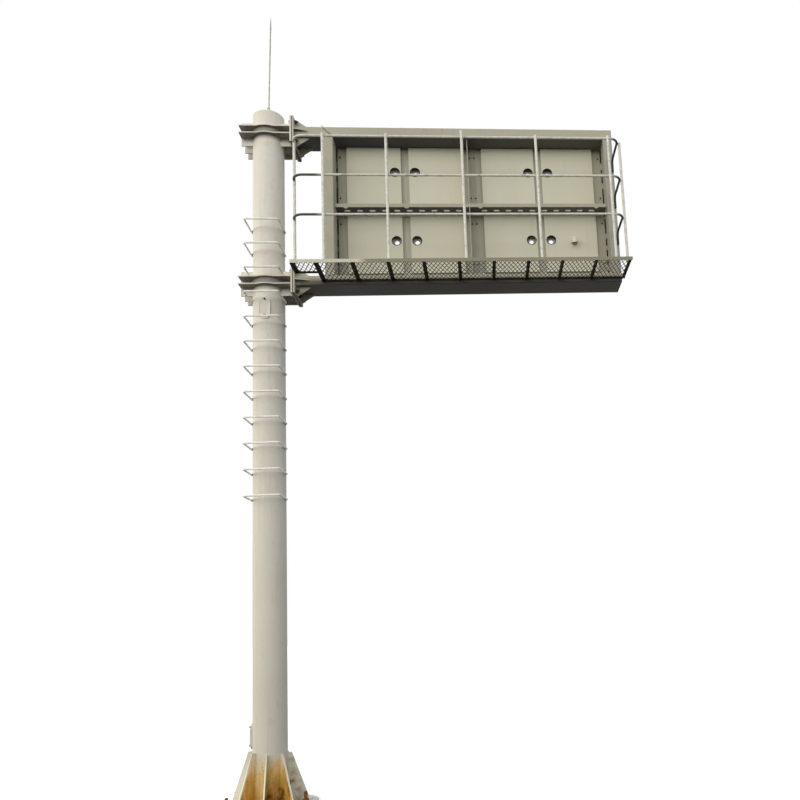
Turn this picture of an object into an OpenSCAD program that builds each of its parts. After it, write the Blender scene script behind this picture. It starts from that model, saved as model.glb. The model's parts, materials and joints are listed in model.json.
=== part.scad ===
// Cantilever gantry for a roadside message sign.
// One round mast carries two box arms; the arms hold a sign frame and a service walkway.
// Millimetres. Z is up, X runs along the arms, Y points from the walkway to the sign's face.
// The origin is the centre of the base plate's underside.

/* [Mast] */
// Outside diameter of the mast tube
mast_od = 356; // [330:1:400]
// Wall of the mast tube
mast_wall = 10; // [6:1:16]
// Height of the mast's top above the ground
mast_h = 7985; // [7800:5:8400]
// Thickness of the cap plate, within that height
cap_t = 36; // [8:1:50]
// How far the cap plate stands out past the tube
cap_lip = 0; // [0:1:10]

/* [Base] */
// Diameter of the base plate
base_d = 980; // [940:10:1200]
// Thickness of the base plate
base_t = 30; // [16:1:50]
// Number of anchor bolts, one between each pair of gussets
anchor_count = 8; // [4:1:12]
// Distance of the anchor bolts from the base plate's edge
anchor_edge = 60; // [45:1:90]
// Diameter of an anchor bolt hole
anchor_hole_d = 39; // [22:1:45]
// Height of a gusset above the base plate
gusset_h = 520; // [300:5:800]
// Distance of a gusset's foot from the base plate's edge
gusset_edge = 46; // [20:1:90]
// Width of a gusset at its top
gusset_top_w = 42; // [15:1:60]
// Height of a gusset's upright toe
gusset_toe_h = 45; // [20:1:90]
// Thickness of a gusset
gusset_t = 14; // [8:1:25]

/* [Lightning rod] */
// Height of the rod's tip above the mast's top
rod_h = 1360; // [800:10:2000]
// Diameter of the rod
rod_d = 16; // [10:1:25]
// Diameter of the rod's socket
socket_d = 34; // [26:1:60]
// Height of the rod's socket
socket_h = 130; // [60:5:200]
// Length of the pointed tip
rod_tip_h = 90; // [40:5:150]
// Lean of the rod out of the upright, in degrees
rod_lean = 1.2; // [0:0.1:2]

/* [Climbing rungs] */
// Number of rungs
rung_count = 12; // [4:1:12]
// Distance from one rung to the next
rung_pitch = 291; // [285:1:295]
// Height of the top rung above the middle of the lower arm
rung_rise = 672; // [665:1:690]
// Diameter of the rung bar
rung_d = 20; // [14:1:24]
// Distance of a rung's bar from the mast's axis
rung_reach = 350; // [320:1:450]
// Bend radius of a rung, to the middle of the bar
rung_bend_r = 25; // [22:1:60]

/* [Access covers] */
// Width of an access cover
cover_w = 118; // [90:1:150]
// Height of an access cover
cover_h = 265; // [180:1:320]
// Thickness of an access cover
cover_t = 7; // [4:1:12]
// How far a cover laps over the edge of its opening
cover_lap = 20; // [10:1:30]
// Distance of the upper cover's middle below the middle of the lower arm
upper_cover_drop = 445; // [375:1:525]
// Height of the middle of the lower cover
lower_cover_z = 743; // [720:1:1200]

/* [Collars] */
// Distance of the upper arm's middle below the mast's top
upper_arm_drop = 277; // [260:1:400]
// Distance from the upper arm's middle down to the lower arm's
arm_spacing = 1889; // [1880:1:1900]
// Height of a collar's plates
collar_h = 296; // [260:1:320]
// Distance from the mast's axis to the end of a collar
collar_reach = 292; // [280:1:340]
// Gap between the ears of the two saddles
ear_gap = 138; // [120:1:200]
// Thickness of the collar's plates
collar_t = 12; // [8:1:16]
// Distance from one stiffening rib to the other
rib_pitch = 90; // [60:1:140]
// Distance of a rib's straight edge from the mast's axis
rib_reach = 206; // [200:1:240]
// Width of the rib around the saddle's shell
rib_ring = 36; // [25:1:50]

/* [Arm flanges] */
// Width of a flange, across the arm
flange_w = 444; // [420:1:560]
// Height of a flange
flange_h = 330; // [290:5:360]
// Thickness of a flange
flange_t = 22; // [12:1:30]
// Bolts in a flange's top row, and in its bottom row
flange_bolts = 3; // [2:1:3]
// Distance of the bolt rows from the flange's top and bottom edge
flange_bolt_inset = 42; // [32:1:46]
// Distance of the outer bolts from the flange's sides
flange_bolt_side = 66; // [40:1:80]
// Diameter of a flange bolt hole
flange_hole_d = 26; // [14:1:30]
// Length of the arm's gussets
arm_gusset_l = 156; // [100:1:200]
// Thickness of the arm's gussets
arm_gusset_t = 12; // [8:1:16]

/* [Arms and posts] */
// Distance of the arms' free ends from the mast's axis
arm_end_x = 4165; // [4000:5:4300]
// Width of an arm, from the walkway to the sign's face
arm_w = 340; // [320:5:380]
// Height of an arm
arm_h = 118; // [110:1:130]
// Wall of the arms and posts
arm_wall = 8; // [5:1:10]
// Outer corner radius of the arms and posts
arm_corner_r = 12; // [11:1:20]
// Thickness of an arm's end plate
arm_cap_t = 6; // [3:1:12]
// Width of a post, along the arms
post_w = 110; // [60:1:115]

/* [Sign modules] */
// Modules side by side
module_columns = 4; // [4]
// Width of a module
module_w = 819; // [760:1:820]
// Height of a module
module_h = 838; // [760:1:845]
// Space left round a module
module_gap = 2; // [1:1:4]
// Height of the space between the two rows
row_gap = 62; // [50:1:66]
// Sheet thickness of a module
sheet_t = 3; // [2:1:5]
// Thickness of a module's flat rim
rim_t = 20; // [12:1:26]
// How far the raised pan stands out of the rim
pan_rise = 47; // [30:1:60]
// Width of the raised pan
pan_w = 650; // [560:1:660]
// Margin between the raised pan and the next module of its pair
pan_margin = 48; // [40:1:60]
// Margin above the raised pan
pan_end_margin = 6; // [4:1:20]
// Margin below the raised pan
pan_foot = 88; // [70:1:100]
// Diameter of the cable hole in the raised pan
pan_hole_d = 112; // [80:1:130]
// Diameter of the cable hole in the face sheet
face_hole_d = 60; // [40:1:75]
// Distance of the cable holes from the joint of their pair
cable_hole_x = 122; // [115:1:140]
// Height of the cable holes above the module's middle
cable_hole_z = 85; // [0:1:100]
// Depth of the modules' face behind the arms' sign side
face_inset = 43; // [20:1:60]

/* [Sign frame] */
// Thickness of the cleats and the mullion
cleat_t = 8; // [5:1:10]
// Leg of a side cleat
cleat_leg = 60; // [45:1:70]
// Width of the mullion's leg that the modules bolt to
mullion_w = 98; // [80:1:105]
// Distance of the mullion's edge from the joint that it covers
mullion_offset = 52; // [30:1:56]
// Distance of the mullion's and the rail's edge from the mast's plane
rail_reach = 118; // [80:1:140]
// Height of the slotted rail between the rows
rail_h = 45; // [35:1:46]
// Sheet thickness of the slotted rail
rail_t = 5; // [3:1:6]
// Length of a slot in the rail
slot_l = 72; // [50:1:90]
// Width of a slot in the rail
slot_w = 40; // [20:1:50]
// Distance from one slot to the next
slot_pitch = 147; // [130:1:180]
// Diameter of the body of the vent on the last module
vent_d = 54; // [40:1:60]
// Diameter of the vent's mouth
vent_mouth_d = 80; // [66:1:90]
// Height of the vent
vent_h = 88; // [70:1:110]
// Space between the vent's mouth and the pan
vent_gap = 5; // [3:1:15]
// Distance of the vent's mouth below the cable holes
vent_drop = 64; // [50:1:80]
// Distance of the vent from the cable hole beside it
vent_x = 285; // [200:1:300]

/* [Walkway] */
// Width of the walkway, from the arm to its outer edge
walk_w = 520; // [480:1:650]
// Height of the bearers' top above the middle of the lower arm
walk_rise = 5; // [0:1:25]
// Distance of the walkway's near end from the mast's axis
walk_start_x = 388; // [380:1:400]
// How far the walkway runs past the arm's end
walk_overhang = 40; // [36:1:50]
// Leg of the bearer angles
bearer_leg = 40; // [38:1:50]
// Thickness of the bearer angles
bearer_t = 5; // [4:1:6]
// Number of bearers that reach the arm
bearer_count = 10; // [6:1:12]
// Distance from the near end to the first bearer that reaches the arm
bearer_first = 273; // [265:1:320]
// Depth of the cut-out that clears the arm flange, from the arm's side
cutout_w = 235; // [180:1:250]
// Height of the bars that carry the bearers' inner ends
ledger_h = 26; // [20:1:36]
// Height of the edge angle's upright leg
edge_h = 40; // [30:1:60]
// Thickness of the floor mesh
mesh_t = 4; // [3:1:6]

/* [Floor mesh] */
// Distance from one diamond to the next along the walkway
diamond_pitch_x = 66; // [50:1:90]
// Distance from one diamond to the next across the walkway
diamond_pitch_y = 132; // [100:1:160]
// Width of the strand between two openings
strand = 9; // [6:1:14]

/* [Guard rail] */
// Outside diameter of the rails
rail_d = 27; // [22:1:32]
// Outside diameter of the rail posts
stanchion_d = 32; // [26:1:40]
// Wall of the rails and rail posts
pipe_wall = 3; // [2:0.5:4]
// Height of the top rail above the walkway's edge angle
top_rail_h = 1511; // [1300:1:1540]
// Distance from one rail down to the next
rail_drop = 479; // [400:1:490]
// Bend radius of the rails, to the middle of the pipe
rail_bend_r = 110; // [80:1:120]
// Distance of the rails' far return from the arm's end
hook_inset = 15; // [14:1:30]
// Bend radius where a far return turns down the far post
hook_bend_r = 60; // [45:1:80]
// How far a rail's hook hangs down the far post
hook_drop = 155; // [120:1:180]
// Distance from the near end to the first rail post
stanchion_first = 362; // [330:1:390]
// Distance from the first rail post to the second
stanchion_second = 703; // [600:1:800]
// Distance of the last rail post from the walkway's far end
stanchion_last = 186; // [160:1:220]
// How far the first stay's rod stands above the top rail
stay_rise = 88; // [60:1:120]
// How far the middle rail post stands above the top rail
stub_rise = 46; // [30:1:80]
// Height of a stay's upper end above the arm's underside
stay_seat = 18; // [14:1:60]
// Diameter of a stay
stay_d = 14; // [10:1:18]

/* [Hidden] */
$fn = 64;
// Overrun of cuts, and the clearance of welded round pieces
cut = 10;
fit = 0.3;

mast_r = mast_od / 2;
anchor_r = base_d / 2 - anchor_edge;
gusset_foot_r = base_d / 2 - gusset_edge;
upper_arm_z = mast_h - upper_arm_drop;
lower_arm_z = upper_arm_z - arm_spacing;
rung_top_z = lower_arm_z + rung_rise;
upper_cover_z = lower_arm_z - upper_cover_drop;
shell_r = mast_r + fit + collar_t;
ear_y = ear_gap / 2;
rear_plate_y = rib_reach - collar_t / 2;
flange_x = collar_reach;
arm_x = flange_x + 2 * flange_t;
arm_y = arm_w / 2;
frame_bottom = lower_arm_z + arm_h / 2;
frame_top = upper_arm_z - arm_h / 2;
frame_h = frame_top - frame_bottom;

display_w = module_columns * module_w;
display_x = arm_end_x - post_w - display_w;
joint_x = display_x + display_w / 2;
face_y = arm_y - face_inset;
rim_y = face_y - rim_t;
pan_y = rim_y - pan_rise;
top_row_z = frame_top - module_h;
bottom_row_z = top_row_z - row_gap - module_h;
row_base = [bottom_row_z, top_row_z];
ROW_NAMES = ["bottom", "top"];

walk_z = lower_arm_z + walk_rise;
walk_y = -arm_y - walk_w;
walk_end_x = arm_end_x + walk_overhang;
edge_y = walk_y + bearer_t;
ledger_y = -arm_y - bearer_t;
cutout_y = -arm_y - cutout_w;
bearer_x0 = walk_start_x + bearer_first;
bearer_pitch = (walk_end_x - bearer_leg / 2 - bearer_x0) / (bearer_count - 1);
edge_top = walk_z + mesh_t + bearer_t;

stanchion_r = stanchion_d / 2;
pipe_step = stanchion_r + rail_d / 2 + fit;
stanchion_y = walk_y + bearer_leg / 2;
rail_y = stanchion_y + pipe_step;
rail_near_x = walk_start_x + bearer_leg / 2;
rail_far_x = arm_end_x - hook_inset;
stanchion_x0 = walk_start_x + stanchion_first;
top_rail_z = edge_top + top_rail_h;
rail_z = [for (i = [0:2]) top_rail_z - i * rail_drop];
turned_y = rail_y + rail_bend_r;

mast_paint = "#d6d0c0";
frame_paint = "#a9a48e";
dark_paint = "#4d473f";
zinc = "#b9bbb6";

// Flat shapes

module rounded_rect(size, r) {
    inner = size - 2 * [r, r];
    square([size.x, inner.y], center = true);
    square([inner.x, size.y], center = true);
    for (x = [-1, 1], y = [-1, 1])
        translate([x * inner.x / 2, y * inner.y / 2]) circle(r);
}

module obround(w, h) {
    square([w, h - w], center = true);
    for (y = [-1, 1]) translate([0, y * (h - w) / 2]) circle(d = w);
}

module ring(d, wall) {
    difference() {
        circle(d = d);
        circle(d = d - 2 * wall);
    }
}

// Box section of width w and depth d, standing on its end
module box_section(w, d, length) {
    linear_extrude(length) difference() {
        rounded_rect([w, d], arm_corner_r);
        rounded_rect([w, d] - 2 * [arm_wall, arm_wall], arm_corner_r - arm_wall);
    }
}

// Angle section: legs along +X and +Y from the corner, standing on its end
module angle_section(leg_x, leg_y, t, length) {
    linear_extrude(length) {
        square([leg_x, t]);
        square([t, leg_y]);
    }
}

// Mast

module base_plate() {
    color(mast_paint) difference() {
        cylinder(h = base_t, d = base_d);
        for (i = [0:anchor_count - 1])
            rotate((i + 0.5) * 360 / anchor_count)
                translate([anchor_r, 0, -cut]) cylinder(h = base_t + 2 * cut, d = anchor_hole_d);
    }
}

module base_gusset() {
    foot = gusset_foot_r - mast_r - fit;
    translate([mast_r + fit, gusset_t / 2, base_t]) rotate([90, 0, 0]) linear_extrude(gusset_t)
        polygon([[0, 0], [foot, 0], [foot, gusset_toe_h], [gusset_top_w, gusset_h], [0, gusset_h]]);
}

module base_gussets() {
    color(mast_paint) for (i = [0:anchor_count - 1]) rotate(i * 360 / anchor_count) base_gusset();
}

// Opening in the tube behind a cover that faces -Y
module access_opening(z) {
    translate([0, 0, z]) rotate([90, 0, 0])
        linear_extrude(mast_od) obround(cover_w - 2 * cover_lap, cover_h - 2 * cover_lap);
}

module mast_tube() {
    color(mast_paint) difference() {
        translate([0, 0, base_t]) cylinder(h = mast_h - cap_t - base_t, d = mast_od);
        translate([0, 0, base_t - cut]) cylinder(h = mast_h, d = mast_od - 2 * mast_wall);
        access_opening(upper_cover_z);
        rotate(-90) access_opening(lower_cover_z);
    }
}

module mast_cap() {
    rim_r = mast_r + cap_lip;
    round_r = cap_t / 2;
    color(mast_paint) translate([0, 0, mast_h - cap_t]) rotate_extrude() {
        square([rim_r - round_r, cap_t]);
        square([rim_r, cap_t - round_r]);
        translate([rim_r - round_r, cap_t - round_r]) intersection() {
            circle(round_r);
            square(round_r);
        }
    }
}

module lightning_rod() {
    color(zinc) translate([0, 0, mast_h]) {
        cylinder(h = socket_h, d = socket_d);
        translate([0, 0, rod_d]) rotate([0, rod_lean, 0]) {
            cylinder(h = rod_h - rod_tip_h - rod_d, d = rod_d);
            translate([0, 0, rod_h - rod_tip_h - rod_d])
                cylinder(h = rod_tip_h, d1 = rod_d, d2 = rod_d / 4);
        }
    }
}

// Bent bar in front of the mast; its legs end on the mast's sides, or at stop_y on a collar's ears
module rung(stop_y) {
    leg_x = mast_r + rung_d / 2 + fit;
    bend_y = -rung_reach + rung_bend_r;
    bar_half = leg_x - rung_bend_r;
    translate([-bar_half, -rung_reach, 0]) rotate([0, 90, 0]) cylinder(h = 2 * bar_half, d = rung_d);
    for (side = [0, 1]) mirror([side, 0, 0]) {
        translate([bar_half, bend_y, 0]) rotate(-90) rotate_extrude(angle = 90)
            translate([rung_bend_r, 0]) circle(d = rung_d);
        translate([leg_x, bend_y, 0]) rotate([-90, 0, 0]) cylinder(h = stop_y - bend_y, d = rung_d);
    }
}

module climbing_rungs() {
    color(zinc) for (i = [0:rung_count - 1]) {
        z = rung_top_z - i * rung_pitch;
        on_collar = abs(z - lower_arm_z) < collar_h / 2 + rung_d;
        translate([0, 0, z]) rung(on_collar ? -ear_y - collar_t : 0);
    }
}

// Curved plate on the mast's -Y side
module access_cover(z) {
    color(mast_paint) intersection() {
        translate([0, 0, z]) rotate([90, 0, 0]) linear_extrude(mast_od) obround(cover_w, cover_h);
        translate([0, 0, z - cover_h]) linear_extrude(2 * cover_h)
            ring(mast_od + 2 * (fit + cover_t), cover_t);
    }
}

module upper_access_cover() access_cover(upper_cover_z);

module lower_access_cover() rotate(-90) access_cover(lower_cover_z);

// Collars

// Outline of a stiffening rib on the -Y side, with a collar round the shell
module rib_outline(edge_y) {
    translate([-collar_reach, -edge_y]) square([2 * collar_reach, edge_y - ear_y]);
    intersection() {
        circle(shell_r + rib_ring);
        translate([-collar_reach, -mast_od]) square([2 * collar_reach, mast_od - ear_y]);
    }
}

// Half shell on the -Y side, between the two ribs
module shell_outline() {
    intersection() {
        circle(shell_r);
        translate([-collar_reach, -mast_od]) square([2 * collar_reach, mast_od - ear_y]);
    }
}

module saddle(arm_z, edge_y, back_plate) {
    color(mast_paint) translate([0, 0, arm_z]) difference() {
        union() {
            translate([-collar_reach, -ear_y - collar_t, -collar_h / 2])
                cube([2 * collar_reach, collar_t, collar_h]);
            translate([0, 0, -rib_pitch / 2]) linear_extrude(rib_pitch) shell_outline();
            for (side = [-1, 1])
                translate([0, 0, side * rib_pitch / 2 - collar_t / 2]) linear_extrude(collar_t)
                    rib_outline(edge_y);
            if (back_plate)
                translate([-collar_reach, -edge_y, -collar_h / 2])
                    cube([2 * collar_reach, collar_t, collar_h]);
        }
        translate([0, 0, -collar_h]) cylinder(h = 2 * collar_h, r = mast_r + fit);
    }
}

module front_saddle(arm_z) saddle(arm_z, rib_reach, false);

module rear_saddle(arm_z) mirror([0, 1, 0]) saddle(arm_z, rib_reach, true);

module upper_front_saddle() front_saddle(upper_arm_z);

module upper_rear_saddle() rear_saddle(upper_arm_z);

module lower_front_saddle() front_saddle(lower_arm_z);

module lower_rear_saddle() rear_saddle(lower_arm_z);

// Plate across the arm's axis, with a row of bolt holes along its top and bottom
module flange(x, arm_z, paint) {
    row_y = flange_w / 2 - flange_bolt_side;
    row_z = flange_h / 2 - flange_bolt_inset;
    color(paint) translate([x, 0, arm_z]) difference() {
        translate([0, -flange_w / 2, -flange_h / 2]) cube([flange_t, flange_w, flange_h]);
        for (i = [0:flange_bolts - 1], side = [-1, 1])
            translate([-cut, -row_y + i * 2 * row_y / (flange_bolts - 1), side * row_z]) rotate([0, 90, 0])
                cylinder(h = flange_t + 2 * cut, d = flange_hole_d);
    }
}

module upper_mast_flange() flange(flange_x, upper_arm_z, mast_paint);

module upper_arm_flange() flange(flange_x + flange_t, upper_arm_z, frame_paint);

module lower_mast_flange() flange(flange_x, lower_arm_z, mast_paint);

module lower_arm_flange() flange(flange_x + flange_t, lower_arm_z, frame_paint);

// Triangular plate with its long edge along +X and its upright edge along +Y
module gusset_plate(rise) {
    nose_share = 0.12;
    translate([0, 0, -arm_gusset_t / 2]) linear_extrude(arm_gusset_t)
        polygon([[0, 0], [arm_gusset_l, 0], [arm_gusset_l, rise * nose_share],
                 [arm_gusset_l * nose_share, rise], [0, rise]]);
}

// Two gussets above and below the arm, and one on each side
module arm_gussets(arm_z) {
    plate_share = 0.32;
    color(frame_paint) translate([arm_x, 0, arm_z]) {
        for (side = [0, 1], y = [-1, 1]) mirror([0, 0, side])
            translate([0, y * arm_w * plate_share, arm_h / 2]) rotate([90, 0, 0])
                gusset_plate((flange_h - arm_h) / 2);
        for (side = [0, 1]) mirror([0, side, 0])
            translate([0, arm_y, 0]) gusset_plate((flange_w - arm_w) / 2);
    }
}

module upper_arm_gussets() arm_gussets(upper_arm_z);

module lower_arm_gussets() arm_gussets(lower_arm_z);

// Arms and sign frame

module arm(arm_z) {
    color(frame_paint) translate([arm_x, 0, arm_z]) rotate([0, 90, 0])
        box_section(arm_h, arm_w, arm_end_x - arm_cap_t - arm_x);
}

module upper_arm() arm(upper_arm_z);

module lower_arm() arm(lower_arm_z);

module arm_end_plates() {
    color(frame_paint) for (arm_z = [lower_arm_z, upper_arm_z])
        translate([arm_end_x - arm_cap_t, 0, arm_z]) rotate([0, 90, 0])
            linear_extrude(arm_cap_t) rounded_rect([arm_h, arm_w], arm_corner_r);
}

module post(x) {
    color(frame_paint) translate([x + post_w / 2, 0, frame_bottom]) box_section(post_w, arm_w, frame_h);
}

module near_post() post(display_x - post_w);

module far_post() post(arm_end_x - post_w);

module side_cleats() {
    color(frame_paint) for (side = [0, 1])
        translate([joint_x, 0, 0]) mirror([side, 0, 0])
            translate([-display_w / 2, rim_y, frame_bottom]) mirror([0, 1, 0])
                angle_section(cleat_leg, cleat_leg, cleat_t, frame_h);
}

module centre_mullion() {
    color(frame_paint) translate([joint_x - mullion_offset, rim_y, frame_bottom]) mirror([0, 1, 0])
        angle_section(mullion_w, rim_y + rail_reach, cleat_t, frame_h);
}

// Channel that opens upwards, with a row of slots through its floor
module slotted_rail(x, length) {
    depth = pan_y - fit + rail_reach;
    count = floor((length - slot_l) / slot_pitch);
    margin = (length - (count - 1) * slot_pitch) / 2;
    translate([x, -rail_reach, top_row_z - row_gap / 2 - rail_h / 2]) difference() {
        cube([length, depth, rail_h]);
        translate([-cut, rail_t, rail_t]) cube([length + 2 * cut, depth - 2 * rail_t, rail_h]);
        for (i = [0:count - 1])
            translate([margin + i * slot_pitch, depth / 2, -cut]) linear_extrude(rail_t + 2 * cut)
                rotate(90) obround(slot_w, slot_l);
    }
}

// Flat bar behind a rail that closes the space between the rows
module row_closer(x0, x1) {
    translate([x0, rim_y - rail_t, top_row_z - row_gap - pan_end_margin])
        cube([x1 - x0, rail_t, row_gap + 2 * pan_end_margin]);
}

module slotted_rails() {
    near_x = display_x + cleat_t;
    mullion_x = joint_x - mullion_offset;
    far_x = mullion_x + cleat_t;
    color(frame_paint) {
        slotted_rail(near_x, mullion_x - near_x);
        slotted_rail(far_x, display_x + display_w - cleat_t - far_x);
        row_closer(display_x + cleat_leg, mullion_x);
        row_closer(mullion_x + mullion_w, display_x + display_w - cleat_leg);
    }
}

// Sheet-metal tray: flat rim, raised pan on the walkway side, a cable hole through both sheets
module sign_module(column, row) {
    paired_right = column % 2;
    w = module_w - module_gap;
    h = module_h - module_gap;
    pan_h = h - pan_end_margin - pan_foot;
    pan_z = module_gap / 2 + pan_foot;
    pan_x = module_w - pan_margin - pan_w;
    hole = [module_w - cable_hole_x, module_h / 2 + cable_hole_z];
    x = display_x + column * module_w;
    color(frame_paint) translate([x + paired_right * module_w, 0, row_base[row]])
        mirror([paired_right, 0, 0])
        difference() {
            union() {
                translate([module_gap / 2, rim_y, module_gap / 2]) cube([w, rim_t, h]);
                translate([pan_x, pan_y, pan_z])
                    cube([pan_w, pan_rise + rim_t, pan_h]);
            }
            translate([pan_x + sheet_t, pan_y + sheet_t, pan_z + sheet_t])
                cube([pan_w - 2 * sheet_t, pan_rise + rim_t - 2 * sheet_t, pan_h - 2 * sheet_t]);
            translate([module_gap / 2 + sheet_t, rim_y + sheet_t, module_gap / 2 + sheet_t])
                cube([w - 2 * sheet_t, rim_t - 2 * sheet_t, h - 2 * sheet_t]);
            translate([hole.x, pan_y - cut, hole.y]) rotate([-90, 0, 0])
                cylinder(h = pan_rise + cut, d = pan_hole_d);
            translate([hole.x, rim_y, hole.y]) rotate([-90, 0, 0])
                cylinder(h = rim_t + cut, d = face_hole_d);
        }
}

// Bell-shaped vent with its mouth down, on a stub from the pan of the last module
module module_vent() {
    flare_share = 0.4;
    stub_share = 0.5;
    x = display_x + (module_columns - 1) * module_w + cable_hole_x + vent_x;
    z = bottom_row_z + module_h / 2 + cable_hole_z - vent_drop;
    reach = vent_mouth_d / 2 + vent_gap;
    body_r = vent_d / 2;
    flare_h = vent_h * flare_share;
    dome_z = vent_h - body_r;
    color(mast_paint) translate([x, pan_y, z]) {
        translate([0, -reach, 0]) difference() {
            union() {
                cylinder(h = flare_h, d1 = vent_mouth_d, d2 = vent_d);
                translate([0, 0, flare_h]) cylinder(h = dome_z - flare_h, d = vent_d);
                translate([0, 0, dome_z]) rotate_extrude() intersection() {
                    circle(body_r);
                    square(body_r);
                }
            }
            translate([0, 0, -cut]) cylinder(h = cut, d = vent_mouth_d - 2 * sheet_t);
            cylinder(h = flare_h, d1 = vent_mouth_d - 2 * sheet_t, d2 = vent_d - 2 * sheet_t);
        }
        translate([0, 0, dome_z]) rotate([90, 0, 0]) cylinder(h = reach, d = vent_d * stub_share);
    }
}

// Walkway

function bearer_x(i) = bearer_x0 + i * bearer_pitch;

// Angle with its flat leg on top, from the ledger side to the edge angle
module bearer(x, inner_y) {
    translate([x - bearer_leg / 2, inner_y, walk_z]) rotate([90, 0, 0]) mirror([0, 1, 0])
        angle_section(bearer_leg, bearer_leg, bearer_t, inner_y - edge_y);
}

module walkway_bearers() {
    color(dark_paint) {
        bearer(walk_start_x + bearer_leg / 2, cutout_y);
        for (i = [0:bearer_count - 1]) bearer(bearer_x(i), ledger_y);
    }
}

// Flat bars that carry the bearers along the arm and the floor's edge at the cut-out
module walkway_ledgers() {
    ledger_x = bearer_x0 - bearer_leg / 2;
    color(dark_paint) {
        translate([ledger_x, ledger_y, walk_z - ledger_h])
            cube([walk_end_x - ledger_x, bearer_t, ledger_h]);
        translate([walk_start_x, cutout_y, walk_z - ledger_h])
            cube([ledger_x - walk_start_x, bearer_t, ledger_h]);
    }
}

module walkway_edge() {
    color(frame_paint) translate([walk_start_x, walk_y, edge_top]) rotate([90, 0, 90]) mirror([0, 1, 0])
        angle_section(bearer_leg, edge_h, bearer_t, walk_end_x - walk_start_x);
}

// Expanded sheet between two places along the walkway: staggered rows of diamond openings
module floor_mesh(x0, x1, inner_y) {
    w = inner_y - edge_y;
    slant = norm([diamond_pitch_x, diamond_pitch_y]);
    half_x = (diamond_pitch_x - strand * slant / diamond_pitch_y) / 2;
    half_y = (diamond_pitch_y - strand * slant / diamond_pitch_x) / 2;
    rows = ceil(2 * w / diamond_pitch_y);
    columns = ceil((x1 - x0) / diamond_pitch_x);
    color(zinc) translate([0, 0, walk_z]) linear_extrude(mesh_t) difference() {
        translate([x0, edge_y]) square([x1 - x0, w]);
        intersection() {
            translate([x0 + strand, edge_y + strand]) square([x1 - x0 - 2 * strand, w - 2 * strand]);
            for (j = [0:rows], i = [0:columns])
                translate([x0 + (i + (j % 2) / 2) * diamond_pitch_x, edge_y + j * diamond_pitch_y / 2])
                    polygon([[-half_x, 0], [0, -half_y], [half_x, 0], [0, half_y]]);
        }
    }
}

mesh_stops = [bearer_x0 - bearer_leg / 2, bearer_x(3), bearer_x(6), walk_end_x];

module floor_mesh_near() {
    floor_mesh(walk_start_x, mesh_stops[0], cutout_y + bearer_t);
    floor_mesh(mesh_stops[0], mesh_stops[1], -arm_y);
}

module floor_mesh_middle() floor_mesh(mesh_stops[1], mesh_stops[2], -arm_y);

module floor_mesh_far() floor_mesh(mesh_stops[2], mesh_stops[3], -arm_y);

// Guard rail

module pipe(d, length) {
    linear_extrude(length) ring(d, pipe_wall);
}

// Quarter bend from +X round to +Y
module pipe_bend(d, r) {
    rotate_extrude(angle = 90) translate([r, 0]) ring(d, pipe_wall);
}

// Run along the walkway: the near end turns in to its end post, the far end turns back to the
// sign's far post and hooks down its face
module guard_rail(z) {
    run_x = rail_near_x + rail_bend_r;
    far_x = rail_far_x - rail_bend_r;
    hook_y = -arm_y - rail_d / 2 - fit;
    back_y = hook_y - hook_bend_r;
    color(zinc) translate([0, 0, z]) {
        translate([run_x, rail_y, 0]) rotate([0, 90, 0]) pipe(rail_d, far_x - run_x);
        translate([run_x, turned_y, 0]) rotate(180) pipe_bend(rail_d, rail_bend_r);
        translate([far_x, turned_y, 0]) rotate(-90) pipe_bend(rail_d, rail_bend_r);
        translate([rail_far_x, turned_y, 0]) rotate([-90, 0, 0]) pipe(rail_d, back_y - turned_y);
        translate([rail_far_x, back_y, -hook_bend_r]) rotate([90, 0, 90]) pipe_bend(rail_d, hook_bend_r);
        translate([rail_far_x, hook_y, -hook_drop]) pipe(rail_d, hook_drop - hook_bend_r);
    }
}

module top_rail() guard_rail(rail_z[0]);

module middle_rail() guard_rail(rail_z[1]);

module bottom_rail() guard_rail(rail_z[2]);

stanchion_bays = 3;
stanchion_x1 = stanchion_x0 + stanchion_second;
stanchion_pitch = (walk_end_x - stanchion_last - stanchion_x1) / stanchion_bays;
stanchion_x = [stanchion_x0, for (i = [0:stanchion_bays]) stanchion_x1 + i * stanchion_pitch];
stanchion_top = top_rail_z + rail_d / 2;
rod_stayed = 0;
stub_stayed = 2;

module rail_posts() {
    color(zinc) {
        for (i = [0:len(stanchion_x) - 1]) {
            top = stanchion_top + (i == stub_stayed ? stub_rise : 0);
            translate([stanchion_x[i], stanchion_y, edge_top]) pipe(stanchion_d, top - edge_top);
        }
        for (place = [[rail_near_x, turned_y + stanchion_r + fit], [rail_far_x + pipe_step, turned_y]])
            translate([place.x, place.y, walk_z + mesh_t])
                pipe(stanchion_d, stanchion_top - walk_z - mesh_t);
    }
}

// Straight rod from the axis of a rail post up to the arm's side
module stay(foot_z) {
    lift = frame_top + stay_seat - foot_z;
    span = -arm_y - stanchion_y;
    translate([0, 0, foot_z]) difference() {
        rotate([atan2(lift, span), 0, 0]) rotate([-90, 0, 0])
            cylinder(h = norm([span, lift]) + stay_d, d = stay_d);
        translate([-stay_d, span, -lift]) cube([2 * stay_d, lift, lift * 4]);
    }
}

// The first stay stands on a rod that caps its post; the other starts at the side of the taller post
module rail_stays() {
    color(zinc) {
        translate([stanchion_x[rod_stayed], stanchion_y, 0]) {
            translate([0, 0, stanchion_top]) cylinder(h = pipe_wall, d = stanchion_d);
            translate([0, 0, stanchion_top]) cylinder(h = stay_rise, d = stay_d);
            stay(stanchion_top + stay_rise - stay_d);
        }
        translate([stanchion_x[stub_stayed], stanchion_y, 0]) difference() {
            stay(stanchion_top + stub_rise - stay_d);
            translate([0, 0, stanchion_top]) cylinder(h = 2 * stub_rise, r = stanchion_r + fit);
        }
    }
}

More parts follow.
